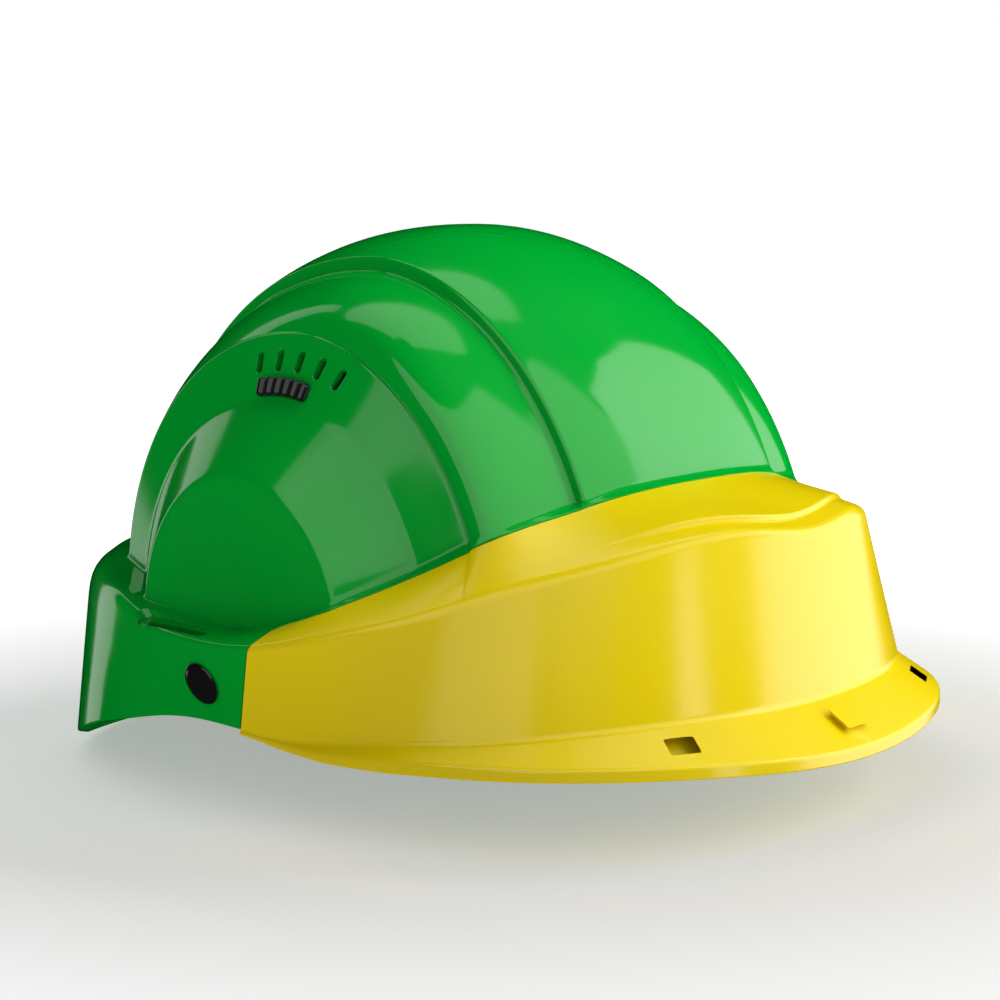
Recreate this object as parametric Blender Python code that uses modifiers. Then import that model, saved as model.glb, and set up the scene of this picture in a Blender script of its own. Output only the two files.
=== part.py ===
"""Vented two-colour hard hat with a webbing harness and a ratchet nape adjuster.

Metres, +Z up, the front of the helmet faces -Y, X = 0 is its plane of symmetry.
The lowest point of the shell's nape rim stands on Z = 0.
"""
import math

import bmesh
import bpy
from mathutils import Matrix, Vector

MM = 0.001

# ---------------------------------------------------------------- driving dimensions
# Dome: arches round a cross axis (X) through the two ear centres.
EAR_Y = 9.5 * MM
EAR_Z = 51.0 * MM
ARCH_FRONT, ARCH_TOP, ARCH_REAR = 90.5 * MM, 109.0 * MM, 95.5 * MM
ARCH_POWER_FRONT, ARCH_POWER_REAR = 1.84, 2.11
# Side-to-centre profile: share of the arch radius, distance from the centre plane.
CHEEK_X, CHEEK_EDGE = 101.5 * MM, (0.39, 101.0 * MM)
FACET_EDGE = (0.57, 84.0 * MM)
EAR_DOME_EDGE = (0.73, 77.0 * MM)
EAR_DOME_LEDGE = 0.8 * MM
MID_LAYER_HANDLE = (0.84, 84.0 * MM)
CROWN_FOOT = (0.898, 47.6 * MM)
CROWN_EDGE = (0.932, 46.9 * MM)
CROWN_POWER = 2.2
# Towards the rear the middle layer is flatter and the crown's edge lower.
REAR_HANDLE = (-0.012, -19.0 * MM)
REAR_CROWN = -0.016
REAR_START, REAR_SPAN = 50.0, 60.0
# Lower rings, measured in plan from a centre a little forward of the middle.
PLAN_Y = -4.5 * MM
# (half width, front reach, rear reach, front power, rear power)
SHOULDER_PLAN = (117.0 * MM, 107.2 * MM, 135.5 * MM, 1.78, 1.93)
RIM_PLAN = (108.0 * MM, 110.0 * MM, 133.0 * MM, 2.56, 2.56)
# (plan angle, height in millimetres); the rings are symmetric left to right
SHOULDER_HEIGHTS = (
    (0, 78.3), (20, 80.0), (45, 71.2), (70, 58.0), (88, 50.4),
    (105, 50.3), (112, 51.6), (122, 57.6), (145, 58.5), (180, 59.0),
)
RIM_HEIGHTS = (
    (0, 31.8), (30, 32.6), (60, 28.4), (84, 24.2), (106, 25.2), (125, 17.5), (150, 3.0), (180, 0.0),
)
FLANGE_OUT, FLANGE_DROP, LIP_HEIGHT = 16.5 * MM, 11.0 * MM, 3.4 * MM
LIP_INNER = 2.8 * MM
# Walls.
SHELL_WALL = 2.8 * MM
BAND_WALL = 2.5 * MM
BAND_SEAT = 3.2 * MM
BORDER_LIP = 3.0 * MM
SEAM_SHARE = 0.20
SEAM_LEAN = 6.0
SEAM_CORNER = 5.0 * MM
BORDER_SMOOTH = 6.0 * MM
# Brow step across the top of the front band: distance above the shoulder, height, fade angles.
BROW_BACK, BROW_RISE, BROW_WIDTH = 8.0 * MM, 1.3 * MM, 1.0 * MM
BROW_FADE = (22.0, 38.0)
GAP = 0.35 * MM
DOME_CENTRE = Vector((0, 2.0 * MM, 20 * MM))
DOME_COLUMNS = 22
# Vents.
VENT_SHARE, VENT_ANGLES = 0.665, (75.0, 81.0, 87.0, 93.0, 99.0)
VENT_LENGTH, VENT_WIDTH = 6.4 * MM, 2.3 * MM
SLIDER_SHARE, SLIDER_ANGLE = 0.597, 89.5
SLIDER_SPAN, SLIDER_HALF_SHARE = 8.2, 0.024
SLIDER_TRAVEL = 3.0
STEM_LENGTH, STEM_WIDTH = 4.6 * MM, 1.8 * MM
# Accessory slots: plan angles of the two ends and their shares of the shelf's width.
SLOT_ANGLES, SLOT_SHARES = (99.5, 112.5), (0.46, 0.61)
SLOT_WIDTH, SLOT_DEPTH = 2.8 * MM, 12.0 * MM
POCKET_WIDTH, POCKET_DEPTH = 5.8 * MM, 0.9 * MM
# Shallow pockets in the peak rim.
POCKET_SINK = 1.5 * MM
# Side buttons and band rivets.
BUTTON_ANGLE, BUTTON_RADIUS = 96.0, 6.2 * MM
RIVET_ANGLE = 58.0
# Harness.
HEAD_Y, HEAD_A, HEAD_B = 10.0 * MM, 80.0 * MM, 98.0 * MM
BAND_FRONT_Z, BAND_REAR_Z = 46.0 * MM, 21.0 * MM
BAND_HEIGHT, TAIL_HEIGHT, BAND_THICK = 28.0 * MM, 14.0 * MM, 1.8 * MM
BAND_END, TAIL_END = 104.0, 150.6
RACK_END = 36.7
NAPE_RADIUS = 65.0 * MM
NAPE_Y = HEAD_Y + HEAD_B - NAPE_RADIUS
RACK_OFFSET, RACK_HEIGHT, RACK_PITCH = 7.7 * MM, 6.0 * MM, 3.3 * MM
HANGER_ANGLES = {"front_right": 44.0, "front_left": -44.0, "rear_right": 136.0, "rear_left": -136.0}
STRAP_WIDTH, STRAP_THICK = 20.0 * MM, 1.2 * MM
STRAP_TOP = 121.0 * MM


# ---------------------------------------------------------------- scene and materials
def start_scene():
    """Empty the scene and make the part and cutter collections."""
    for item in list(bpy.data.objects):
        bpy.data.objects.remove(item, do_unlink=True)
    made = []
    for name in ("hard_hat", "cutters"):
        group = bpy.data.collections.new(name)
        bpy.context.scene.collection.children.link(group)
        made.append(group)
    return made


PARTS, CUTTERS = start_scene()


def material(name, colour, roughness, metallic=0.0):
    """Plain Principled material."""
    made = bpy.data.materials.new(name)
    made.use_nodes = True
    shader = made.node_tree.nodes["Principled BSDF"]
    shader.inputs["Base Color"].default_value = (*colour, 1.0)
    shader.inputs["Roughness"].default_value = roughness
    shader.inputs["Metallic"].default_value = metallic
    made.diffuse_color = (*colour, 1.0)
    return made


GREEN = material("green_gloss_plastic", (0.0, 0.30, 0.03), 0.18)
YELLOW = material("yellow_gloss_plastic", (0.87, 0.67, 0.0), 0.25)
BLACK = material("black_gloss_plastic", (0.012, 0.012, 0.013), 0.2)
DARK = material("black_matte_plastic", (0.02, 0.02, 0.022), 0.5)
GREY = material("grey_harness_plastic", (0.09, 0.09, 0.10), 0.45)
WEBBING = material("dark_webbing", (0.03, 0.03, 0.035), 0.85)
FOAM = material("sweatband_fabric", (0.05, 0.05, 0.055), 0.9)


def finish(name, mesh, look, group=None):
    """Link a finished mesh as one named object."""
    mesh.materials.clear()
    mesh.materials.append(look)
    item = bpy.data.objects.new(name, mesh)
    (group or PARTS).objects.link(item)
    if group is CUTTERS:
        item.hide_render = True
        item.display_type = "WIRE"
    return item


def closed_mesh(name, points, faces):
    """Triangulated mesh with its normals outward."""
    mesh = bpy.data.meshes.new(name)
    mesh.from_pydata([tuple(p) for p in points], [], faces)
    work = bmesh.new()
    work.from_mesh(mesh)
    bmesh.ops.triangulate(work, faces=work.faces[:], quad_method="SHORT_EDGE")
    bmesh.ops.recalc_face_normals(work, faces=work.faces[:])
    work.to_mesh(mesh)
    work.free()
    return mesh


def skin(name, sections, look, group=None):
    """Loft a row of equal closed outlines and cap both ends."""
    count = len(sections[0])
    points = [p for section in sections for p in section]
    faces = []
    for i in range(len(sections) - 1):
        for j in range(count):
            k = (j + 1) % count
            faces.append((i * count + j, i * count + k, (i + 1) * count + k, (i + 1) * count + j))
    faces.append(tuple(range(count)))
    last = (len(sections) - 1) * count
    faces.append(tuple(last + j for j in range(count)))
    return finish(name, closed_mesh(name, points, faces), look, group)


def prism(name, outline, depth, frame, look, group=None):
    """Flat outline pushed from -depth/2 to +depth/2 along the frame's Z."""
    half = depth / 2
    low = [frame @ Vector((x, y, -half)) for x, y in outline]
    high = [frame @ Vector((x, y, half)) for x, y in outline]
    return skin(name, [low, high], look, group)


def turned(name, profile, frame, steps, look, group=None):
    """Screw a radius/height profile round the frame's Z axis."""
    mesh = bpy.data.meshes.new(name)
    edges = [(i, i + 1) for i in range(len(profile) - 1)]
    if profile[0] == profile[-1]:
        profile = profile[:-1]
        edges[-1] = (len(profile) - 1, 0)
    mesh.from_pydata([(r, 0, h) for r, h in profile], edges, [])
    item = finish(name, mesh, look, group)
    item.matrix_world = frame
    screw = item.modifiers.new("turn", "SCREW")
    screw.axis = "Z"
    screw.angle = 2 * math.pi
    screw.steps = steps
    screw.render_steps = steps
    screw.use_merge_vertices = True
    screw.merge_threshold = 0.00005
    screw.use_smooth_shade = True
    return item


def cut(item, cutters, solver="EXACT"):
    """Take each cutter out of the item."""
    for tool in cutters:
        step = item.modifiers.new("cut", "BOOLEAN")
        step.operation = "DIFFERENCE"
        step.solver = solver
        step.object = tool


def frame_at(origin, z_axis, x_hint):
    """Local frame with the given Z and an X close to the hint."""
    z = z_axis.normalized()
    x = (x_hint - z * x_hint.dot(z)).normalized()
    y = z.cross(x)
    turn = Matrix((x, y, z)).transposed().to_4x4()
    return Matrix.Translation(origin) @ turn


def stadium(length, width, steps=5):
    """Slot outline with round ends, long in X."""
    radius, shift = width / 2, (length - width) / 2
    outline = []
    for end in (1, -1):
        for i in range(steps + 1):
            angle = math.radians(-90 + 180 * i / steps)
            outline.append((end * (shift + radius * math.cos(angle)), end * radius * math.sin(angle)))
    return outline


# ---------------------------------------------------------------- surface of the helmet
def smooth_between(stations, at):
    """Catmull-Rom value through (angle, value) stations that mirror at both ends."""
    at = abs(at)
    n = len(stations)
    i = max(k for k in range(n - 1) if stations[k][0] <= at)
    (a0, v0), (a1, v1) = stations[i], stations[i + 1]
    def slope(k):
        if k in (0, n - 1):
            return 0.0
        (pa, pv), (na, nv) = stations[k - 1], stations[k + 1]
        return (nv - pv) / (na - pa)
    t = (at - a0) / (a1 - a0)
    m0, m1 = slope(i) * (a1 - a0), slope(i + 1) * (a1 - a0)
    cubic = (2 * t**3 - 3 * t**2 + 1) * v0 + (t**3 - 2 * t**2 + t) * m0
    return cubic + (3 * t**2 - 2 * t**3) * v1 + (t**3 - t**2) * m1


def arch_radius(angle):
    """Radius of the outermost arch; 0 front, 90 up, 180 rear."""
    c, s = math.cos(math.radians(angle)), math.sin(math.radians(angle))
    reach, power = (ARCH_FRONT, ARCH_POWER_FRONT) if c >= 0 else (ARCH_REAR, ARCH_POWER_REAR)
    return ((abs(c) / reach) ** power + (abs(s) / ARCH_TOP) ** power) ** (-1 / power)


def dome_point(x, share, angle):
    """Point of the dome at offset x, share of the arch radius and arch angle."""
    radius = share * arch_radius(angle)
    turn = math.radians(angle)
    return Vector((x, EAR_Y - radius * math.cos(turn), EAR_Z + radius * math.sin(turn)))


def base_angles(share):
    """Arch angles where the dome meets the front slope and the rear shelf."""
    return 7.5 + 30.0 * share - 11.8 * share * share, 173.5 - 3.7 * share


LEDGE_FOOT = (EAR_DOME_EDGE[0] + 0.004, EAR_DOME_EDGE[1] - EAR_DOME_LEDGE)


def half_profile():
    """(share, x) rows from the ear centre to the crown line."""
    rows = [(0.0, CHEEK_X)]
    for share in (0.10, SEAM_SHARE - 0.005, SEAM_SHARE, 0.215, 0.245, 0.31):
        rows.append((share, CHEEK_X + (CHEEK_EDGE[1] - CHEEK_X) * share / CHEEK_EDGE[0]))
    rows.append(CHEEK_EDGE)
    for low, high in ((CHEEK_EDGE, FACET_EDGE), (FACET_EDGE, EAR_DOME_EDGE)):
        for t in (0.5, 1.0):
            rows.append((low[0] + (high[0] - low[0]) * t, low[1] + (high[1] - low[1]) * t))
    start = LEDGE_FOOT
    rows.append(start)
    for t in (0.25, 0.5, 0.75, 1.0):
        rows.append(tuple((1 - t) ** 2 * a + 2 * t * (1 - t) * b + t * t * c
                          for a, b, c in zip(start, MID_LAYER_HANDLE, CROWN_FOOT)))
    rows.append(CROWN_EDGE)
    for x_share in (0.82, 0.62, 0.42, 0.2, 0.0):
        rows.append((1 - (1 - CROWN_EDGE[0]) * x_share**CROWN_POWER, CROWN_EDGE[1] * x_share))
    return rows


def rear_drift(share, x):
    """Change of share and half width that the row takes on towards the rear."""
    if share <= LEDGE_FOOT[0]:
        return 0.0, 0.0
    if share < CROWN_FOOT[0]:
        square = LEDGE_FOOT[0] - 2 * MID_LAYER_HANDLE[0] + CROWN_FOOT[0]
        single = 2 * (MID_LAYER_HANDLE[0] - LEDGE_FOOT[0])
        lacking = LEDGE_FOOT[0] - share
        t = -2 * lacking / (single + math.sqrt(single**2 - 4 * square * lacking))
        bow = 2 * t * (1 - t)
        return bow * REAR_HANDLE[0] + t * t * REAR_CROWN, bow * REAR_HANDLE[1]
    return REAR_CROWN * min(abs(x) / CROWN_EDGE[1], 1.0) ** CROWN_POWER, 0.0


def row_point(row, angle):
    """Point of a profile row at an arch angle."""
    share, x = FULL_ROWS[row]
    t = min(max((angle - REAR_START) / REAR_SPAN, 0.0), 1.0)
    t = t * t * (3 - 2 * t)
    change, shift = rear_drift(share, x)
    narrow = shift * t if x > 0 else -shift * t
    return dome_point(x + narrow, share + change * t, angle)


def plan_ring(plan, heights, angle):
    """Point of a lower ring; positive angles run round the -X side."""
    width, front, rear, front_power, rear_power = plan
    c, s = math.cos(math.radians(angle)), math.sin(math.radians(angle))
    reach, power = (front, front_power) if c >= 0 else (rear, rear_power)
    radius = ((abs(c) / reach) ** power + (abs(s) / width) ** power) ** (-1 / power)
    return Vector((-radius * s, PLAN_Y - radius * c, smooth_between(heights, angle) * MM))


def plan_angle(point):
    """Plan angle of a point seen from the plan centre."""
    return math.degrees(math.atan2(-point.x, PLAN_Y - point.y))


def tangents(line, closed):
    """Unit directions along a line of points."""
    n = len(line)
    out = []
    for i in range(n):
        a = line[(i - 1) % n] if closed or i else line[0]
        b = line[(i + 1) % n] if closed or i < n - 1 else line[-1]
        out.append((b - a).normalized())
    return out


def face_normals(along, upper, lower):
    """Outward normals of the strip between an upper and a lower line."""
    out = []
    for t, a, b in zip(along, upper, lower):
        normal = t.cross(b - a).normalized()
        centre = Vector((0, PLAN_Y, 0))
        outward = Vector((a.x, a.y, 0)) - centre + Vector((0, 0, 0.05))
        out.append(normal if normal.dot(outward) > 0 else -normal)
    return out


def plan_radius(point):
    """Distance from the plan centre."""
    return math.hypot(point.x, point.y - PLAN_Y)


def smooth_border(raw):
    """Border line evened out along its length, so that the dome's steps do not show in it."""
    n = len(raw)
    out = []
    for i in range(n):
        total, radius, height = 0.0, 0.0, 0.0
        for side in (1, -1):
            k, run = i, 0.0
            while run < 3 * BORDER_SMOOTH:
                step = (k + side) % n
                length = (raw[step] - raw[k]).length
                weight = math.exp(-0.5 * ((run + length / 2) / BORDER_SMOOTH) ** 2) * length
                radius += (plan_radius(raw[step]) + plan_radius(raw[k])) * weight / 2
                height += (raw[step].z + raw[k].z) * weight / 2
                total += weight
                run += length
                k = step
        ray = Vector((raw[i].x, raw[i].y - PLAN_Y, 0)).normalized()
        out.append(Vector((0, PLAN_Y, height / total)) + ray * (radius / total))
    return out


ROWS = half_profile()
N = len(ROWS)
FULL_ROWS = [(s, -x) for s, x in ROWS] + [(s, x) for s, x in reversed(ROWS[:-1])]


class Lines:
    """The named lines of the lower body, one point per base-line vertex."""


def base_loop():
    """(row, end) of the dome's rim: end 0 is the front base, 1 the rear base."""
    last = len(FULL_ROWS) - 1
    loop = [(i, 0) for i in range(N - 1, 0, -1)]
    loop.append((0, 0))
    loop += [(i, 1) for i in range(1, last)]
    loop.append((last, 0))
    loop += [(i, 0) for i in range(last - 1, N - 1, -1)]
    return loop


def lower_lines():
    """Base, border, shoulder, rim and flange lines with their normals."""
    out = Lines()
    out.loop = base_loop()
    out.base = []
    for row, end in out.loop:
        out.base.append(row_point(row, base_angles(FULL_ROWS[row][0])[end]))
    angles = [plan_angle(p) for p in out.base]
    out.angles = angles
    out.shoulder = [plan_ring(SHOULDER_PLAN, SHOULDER_HEIGHTS, a) for a in angles]
    leaned = [a + SEAM_LEAN * math.sin(math.radians(a)) ** 3 for a in angles]
    out.rim = [plan_ring(RIM_PLAN, RIM_HEIGHTS, a) for a in leaned]
    raw = [b + (s - b).normalized() * BORDER_LIP for b, s in zip(out.base, out.shoulder)]
    out.border = smooth_border(raw)
    seams = [i for i, (row, end) in enumerate(out.loop) if end == 0 and FULL_ROWS[row][0] == SEAM_SHARE]
    for i, (row, end) in enumerate(out.loop):
        away = min((out.shoulder[i] - out.shoulder[k]).length for k in seams)
        if end == 0 and FULL_ROWS[row][0] >= SEAM_SHARE and away < SEAM_CORNER:
            drop = SEAM_CORNER - math.sqrt(SEAM_CORNER**2 - (SEAM_CORNER - away) ** 2)
            out.border[i] += (out.shoulder[i] - out.border[i]).normalized() * drop
    out.flange = []
    out.lip = []
    for a, k in zip(angles, out.rim):
        forward = max(math.cos(math.radians(a)), 0.0)
        taper = min(forward / 0.3, 1.0)
        away = (Vector((k.x, k.y, 0)) - Vector((0, PLAN_Y, 0))).normalized()
        reach = max(taper * (1.0 * MM + (FLANGE_OUT - 1.0 * MM) * forward**2), 0.4 * MM)
        drop = max(taper * (1.1 * MM + (FLANGE_DROP - 1.1 * MM) * forward**2), 0.4 * MM)
        edge = k + away * reach - Vector((0, 0, drop))
        out.flange.append(edge)
        height = 0.5 * MM + (LIP_HEIGHT - 0.5 * MM) * min(forward / 0.45, 1.0)
        out.lip.append(edge - Vector((0, 0, height)))
    out.away = [(Vector((k.x, k.y, 0)) - Vector((0, PLAN_Y, 0))).normalized() for k in out.rim]
    along = tangents(out.shoulder, True)
    out.n_slope = face_normals(along, out.border, out.shoulder)
    out.n_face = face_normals(along, out.shoulder, out.rim)
    out.n_flange = face_normals(tangents(out.rim, True), out.rim, out.flange)
    out.n_dome = [(p - DOME_CENTRE).normalized() for p in out.base]
    return out


LOWER = lower_lines()
LOOP = len(LOWER.base)


def is_front(index):
    """True where the front band covers the shell."""
    row, end = LOWER.loop[index]
    share = FULL_ROWS[row][0]
    return end == 0 and share >= SEAM_SHARE


def near_seam(index):
    """True for the short overlap just behind the seam."""
    row, end = LOWER.loop[index]
    share = FULL_ROWS[row][0]
    return end == 0 and 0.0 < share < SEAM_SHARE


def shell_rows(inner):
    """The shell's lower rows under the base line, outer or inner side."""
    rows = [[], [], [], []]
    for i in range(LOOP):
        deep = is_front(i) or (inner and near_seam(i))
        depth = (BAND_SEAT if deep else 0.0) + (SHELL_WALL if inner else 0.0)
        y, s, k = LOWER.border[i], LOWER.shoulder[i], LOWER.rim[i]
        n1, n2 = LOWER.n_slope[i], LOWER.n_face[i]
        slope = (s - y).normalized()
        if inner:
            rows[0].append(y - depth * n1)
        else:
            rows[0].append(y)
        ease = 0.05 * MM if is_front(i) and not inner else 0.8 * MM
        rows[1].append(y + slope * ease - depth * n1)
        rows[2].append(s - depth * (n1 + n2) / (1 + n1.dot(n2)))
        climb = 1.6 * MM if is_front(i) else 0.0
        face = (s - k).normalized()
        rows[3].append(k - depth * n2 + face * climb)
    return rows


def build_shell():
    """Dome, rear shelf, nape skirt and the wall behind the front band, one wall thick."""
    points = []
    faces = []

    def add(p):
        points.append(p)
        return len(points) - 1

    sides = []
    for inner in (False, True):
        grid = []
        for i, (share, _) in enumerate(FULL_ROWS):
            low, high = base_angles(share)
            if i in (0, len(FULL_ROWS) - 1):
                grid.append([None])
                continue
            line = []
            for j in range(DOME_COLUMNS + 1):
                p = row_point(i, low + (high - low) * j / DOME_COLUMNS)
                if inner:
                    p = p - (p - DOME_CENTRE).normalized() * SHELL_WALL
                line.append(p)
            grid.append(line)
        rim = []
        for i, (row, end) in enumerate(LOWER.loop):
            p = LOWER.base[i]
            if inner:
                deep = is_front(i) or near_seam(i)
                depth = SHELL_WALL + (BAND_SEAT if deep else 0.0)
                n0, n1 = LOWER.n_dome[i], LOWER.n_slope[i]
                p = p - depth * (n0 + n1) / (1 + n0.dot(n1))
            index = add(p)
            rim.append(index)
            if len(grid[row]) == 1:
                grid[row][0] = index
            else:
                grid[row][-1 if end else 0] = index
        for line in grid:
            for j, p in enumerate(line):
                if not isinstance(p, int):
                    line[j] = add(p)
        for a, b in zip(grid, grid[1:]):
            if len(a) == 1 or len(b) == 1:
                pole, line = (a[0], b) if len(a) == 1 else (b[0], a)
                faces += [(pole, line[j], line[j + 1]) for j in range(len(line) - 1)]
                continue
            faces += [(a[j], a[j + 1], b[j + 1], b[j]) for j in range(DOME_COLUMNS)]
        rows = [rim] + [[add(p) for p in row] for row in shell_rows(inner)]
        for a, b in zip(rows, rows[1:]):
            faces += [(a[j], a[(j + 1) % LOOP], b[(j + 1) % LOOP], b[j]) for j in range(LOOP)]
        sides.append(rows[-1])
    a, b = sides
    faces += [(a[j], a[(j + 1) % LOOP], b[(j + 1) % LOOP], b[j]) for j in range(LOOP)]
    return finish("shell", closed_mesh("shell", points, faces), GREEN)


def build_front_band():
    """Yellow front: sloped top, tall face, sloping peak rim and lip."""
    order = [i for i in range(LOOP) if is_front(i)]
    order.sort(key=lambda i: LOWER.angles[i])
    sections = []
    for place, i in enumerate(order):
        n1, n2, n3 = LOWER.n_slope[i], LOWER.n_face[i], LOWER.n_flange[i]
        slope = (LOWER.shoulder[i] - LOWER.border[i]).normalized()
        y = LOWER.border[i] + slope * GAP
        s, k, g, lip = LOWER.shoulder[i], LOWER.rim[i], LOWER.flange[i], LOWER.lip[i]
        away = LOWER.away[i]
        back = min(BROW_BACK, 0.6 * (s - y).length)
        fade = min(max((BROW_FADE[1] - abs(LOWER.angles[i])) / (BROW_FADE[1] - BROW_FADE[0]), 0.0), 1.0)
        brow = s - slope * back + n1 * (BROW_RISE * fade)
        outline = [y, brow, s - slope * (back - BROW_WIDTH), s, k, g, lip, lip - away * LIP_INNER]
        outline.append(k - BAND_WALL * (n2 + n3) / (1 + n2.dot(n3)))
        outline.append(s - BAND_WALL * (n1 + n2) / (1 + n1.dot(n2)))
        outline.append(y - BAND_WALL * n1)
        if place in (0, len(order) - 1):
            inward = order[1] if place == 0 else order[-2]
            pull = (LOWER.shoulder[inward] - s).normalized() * GAP
            outline = [p + pull for p in outline]
        sections.append(outline)
    return skin("front_band", sections, YELLOW)


def skirt_frame(angle, share, depth=0.0):
    """Frame on the outer wall between shoulder (0) and rim (1); Z outward, Y up."""
    size = abs(angle)
    leaned = size + SEAM_LEAN * math.sin(math.radians(size)) ** 3
    s = plan_ring(SHOULDER_PLAN, SHOULDER_HEIGHTS, size)
    k = plan_ring(RIM_PLAN, RIM_HEIGHTS, leaned)
    s2 = plan_ring(SHOULDER_PLAN, SHOULDER_HEIGHTS, size + 1)
    k2 = plan_ring(RIM_PLAN, RIM_HEIGHTS, leaned + 1)
    p = s.lerp(k, share)
    normal = (s2.lerp(k2, share) - p).cross(k - s).normalized()
    if normal.x > 0:
        normal = -normal
    p = p - normal * depth
    if angle < 0:
        p.x, normal.x = -p.x, -normal.x
    up = Vector((0, 0, 1))
    x_hint = up.cross(normal)
    return frame_at(p, normal, x_hint)


def facet_frame(side, share, angle):
    """Frame on the vent facet: X along the arch, Y up the facet, Z outward."""
    def at(s, a):
        t = (s - FACET_EDGE[0]) / (EAR_DOME_EDGE[0] - FACET_EDGE[0])
        x = FACET_EDGE[1] + (EAR_DOME_EDGE[1] - FACET_EDGE[1]) * t
        return dome_point(side * x, s, a)
    p = at(share, angle)
    along = at(share, angle + 1) - p
    climb = at(share + 0.01, angle) - p
    normal = along.cross(climb).normalized()
    if normal.x * side < 0:
        normal = -normal
    return frame_at(p, normal, along)


def build_vents(side, tag):
    """Vent cutters, outer slider and inner shutter of one side; returns the shell's cutters."""
    cutters = []
    for i, angle in enumerate(VENT_ANGLES):
        frame = facet_frame(side, VENT_SHARE, angle) @ Matrix.Rotation(math.radians(90), 4, "Z")
        outline = stadium(VENT_LENGTH, VENT_WIDTH)
        cutters.append(prism(f"vent_cutter_{tag}_{i}", outline, 16 * MM, frame, DARK, CUTTERS))
    middle = facet_frame(side, SLIDER_SHARE, SLIDER_ANGLE + SLIDER_TRAVEL / 2)
    window = stadium(STEM_LENGTH + 4.6 * MM, STEM_WIDTH + 0.9 * MM)
    cutters.append(prism(f"slider_window_{tag}", window, 16 * MM, middle, DARK, CUTTERS))

    sections = []
    ribs = 6
    for i in range(2 * ribs + 1):
        angle = SLIDER_ANGLE + SLIDER_SPAN * (i / ribs - 1)
        end = i in (0, 2 * ribs)
        top = 1.0 * MM if end else (2.3 * MM if i % 2 else 1.5 * MM)
        pair = []
        for share in (SLIDER_SHARE - SLIDER_HALF_SHARE, SLIDER_SHARE + SLIDER_HALF_SHARE):
            frame = facet_frame(side, share, angle)
            pair.append((frame.translation.copy(), frame.to_3x3().col[2].copy()))
        (low, n0), (high, n1) = pair
        base = 0.5 * MM
        sections.append([low + n0 * base, high + n1 * base, high + n1 * top, low + n0 * top])
    slider = skin(f"vent_slider_{tag}", sections, BLACK)
    stem_frame = facet_frame(side, SLIDER_SHARE, SLIDER_ANGLE)
    stem_mid = stem_frame @ Matrix.Translation((0, 0, -1.85 * MM))
    stem = prism(f"slider_stem_{tag}", stadium(STEM_LENGTH, STEM_WIDTH), 5.5 * MM, stem_mid, BLACK, CUTTERS)
    join = slider.modifiers.new("stem", "BOOLEAN")
    join.operation = "UNION"
    join.solver = "EXACT"
    join.object = stem

    sections = []
    for i in range(13):
        angle = 70.5 + 33.0 * i / 12
        outline = []
        for depth, share in ((3.7, 0.584), (3.7, 0.712), (4.9, 0.712), (4.9, 0.584)):
            frame = facet_frame(side, share, angle)
            outline.append(frame @ Vector((0, 0, -depth * MM)))
        sections.append(outline)
    shutter = skin(f"vent_shutter_{tag}", sections, DARK)
    hole = prism(f"shutter_hole_{tag}", stadium(STEM_LENGTH + 0.8 * MM, STEM_WIDTH + 0.8 * MM), 16 * MM,
                 stem_frame, DARK, CUTTERS)
    cut(shutter, cutters[:-1] + [hole])
    return cutters


def build_side_pieces(side, tag):
    """Round side button, its inner lock ring and the band rivet; returns shell and band cutters."""
    frame = skirt_frame(-side * BUTTON_ANGLE, 0.52)
    edge = (BUTTON_RADIUS / MM, GAP / MM)
    head = [(0.0, 2.4), (2.6, 2.2), (4.6, 1.6), (5.8, 0.9), edge, (3.0, GAP / MM)]
    shaft = [(3.0, -9.0), (0.0, -9.0)]
    profile = [(a * MM, b * MM) for a, b in head + shaft]
    turned(f"side_button_{tag}", profile, frame, 24, BLACK)
    drill = [(0, 3 * MM), (3.4 * MM, 3 * MM), (3.4 * MM, -12 * MM), (0, -12 * MM)]
    hole = turned(f"button_hole_{tag}", drill, frame, 24, DARK, CUTTERS)
    ring = [(5.6 * MM, -6.4 * MM), (5.6 * MM, -8.2 * MM), (3.35 * MM, -8.2 * MM), (3.35 * MM, -6.4 * MM),
            (5.6 * MM, -6.4 * MM)]
    turned(f"button_lock_ring_{tag}", ring, frame, 24, DARK)

    seat = skirt_frame(-side * RIVET_ANGLE, 0.5)
    wall = (BAND_SEAT + SHELL_WALL) / MM
    rivet = [(0.0, -0.95), (1.9, -0.95), (1.9, -wall - 0.45), (3.8, -wall - 0.45), (3.4, -wall - 1.7),
             (0.0, -wall - 2.1)]
    turned(f"band_rivet_{tag}", [(a * MM, b * MM) for a, b in rivet], seat, 20, DARK)
    drill = [(0.0, -0.6), (2.25, -0.6), (2.25, -12.0), (0.0, -12.0)]
    drilled = turned(f"rivet_hole_{tag}", [(a * MM, b * MM) for a, b in drill], seat, 20, DARK, CUTTERS)
    return [hole, drilled], [drilled]


def shelf_point(angle, share):
    """Point between border line and shoulder at a plan angle, with the shelf's normal there."""
    for i in range(LOOP):
        k = (i + 1) % LOOP
        low, high = LOWER.angles[i], LOWER.angles[k]
        if low <= angle <= high and high - low < 90:
            t = (angle - low) / (high - low)
            border = LOWER.border[i].lerp(LOWER.border[k], t)
            shoulder = LOWER.shoulder[i].lerp(LOWER.shoulder[k], t)
            normal = LOWER.n_slope[i].lerp(LOWER.n_slope[k], t).normalized()
            return border.lerp(shoulder, share), normal
    raise ValueError("angle outside the border line")


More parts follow.
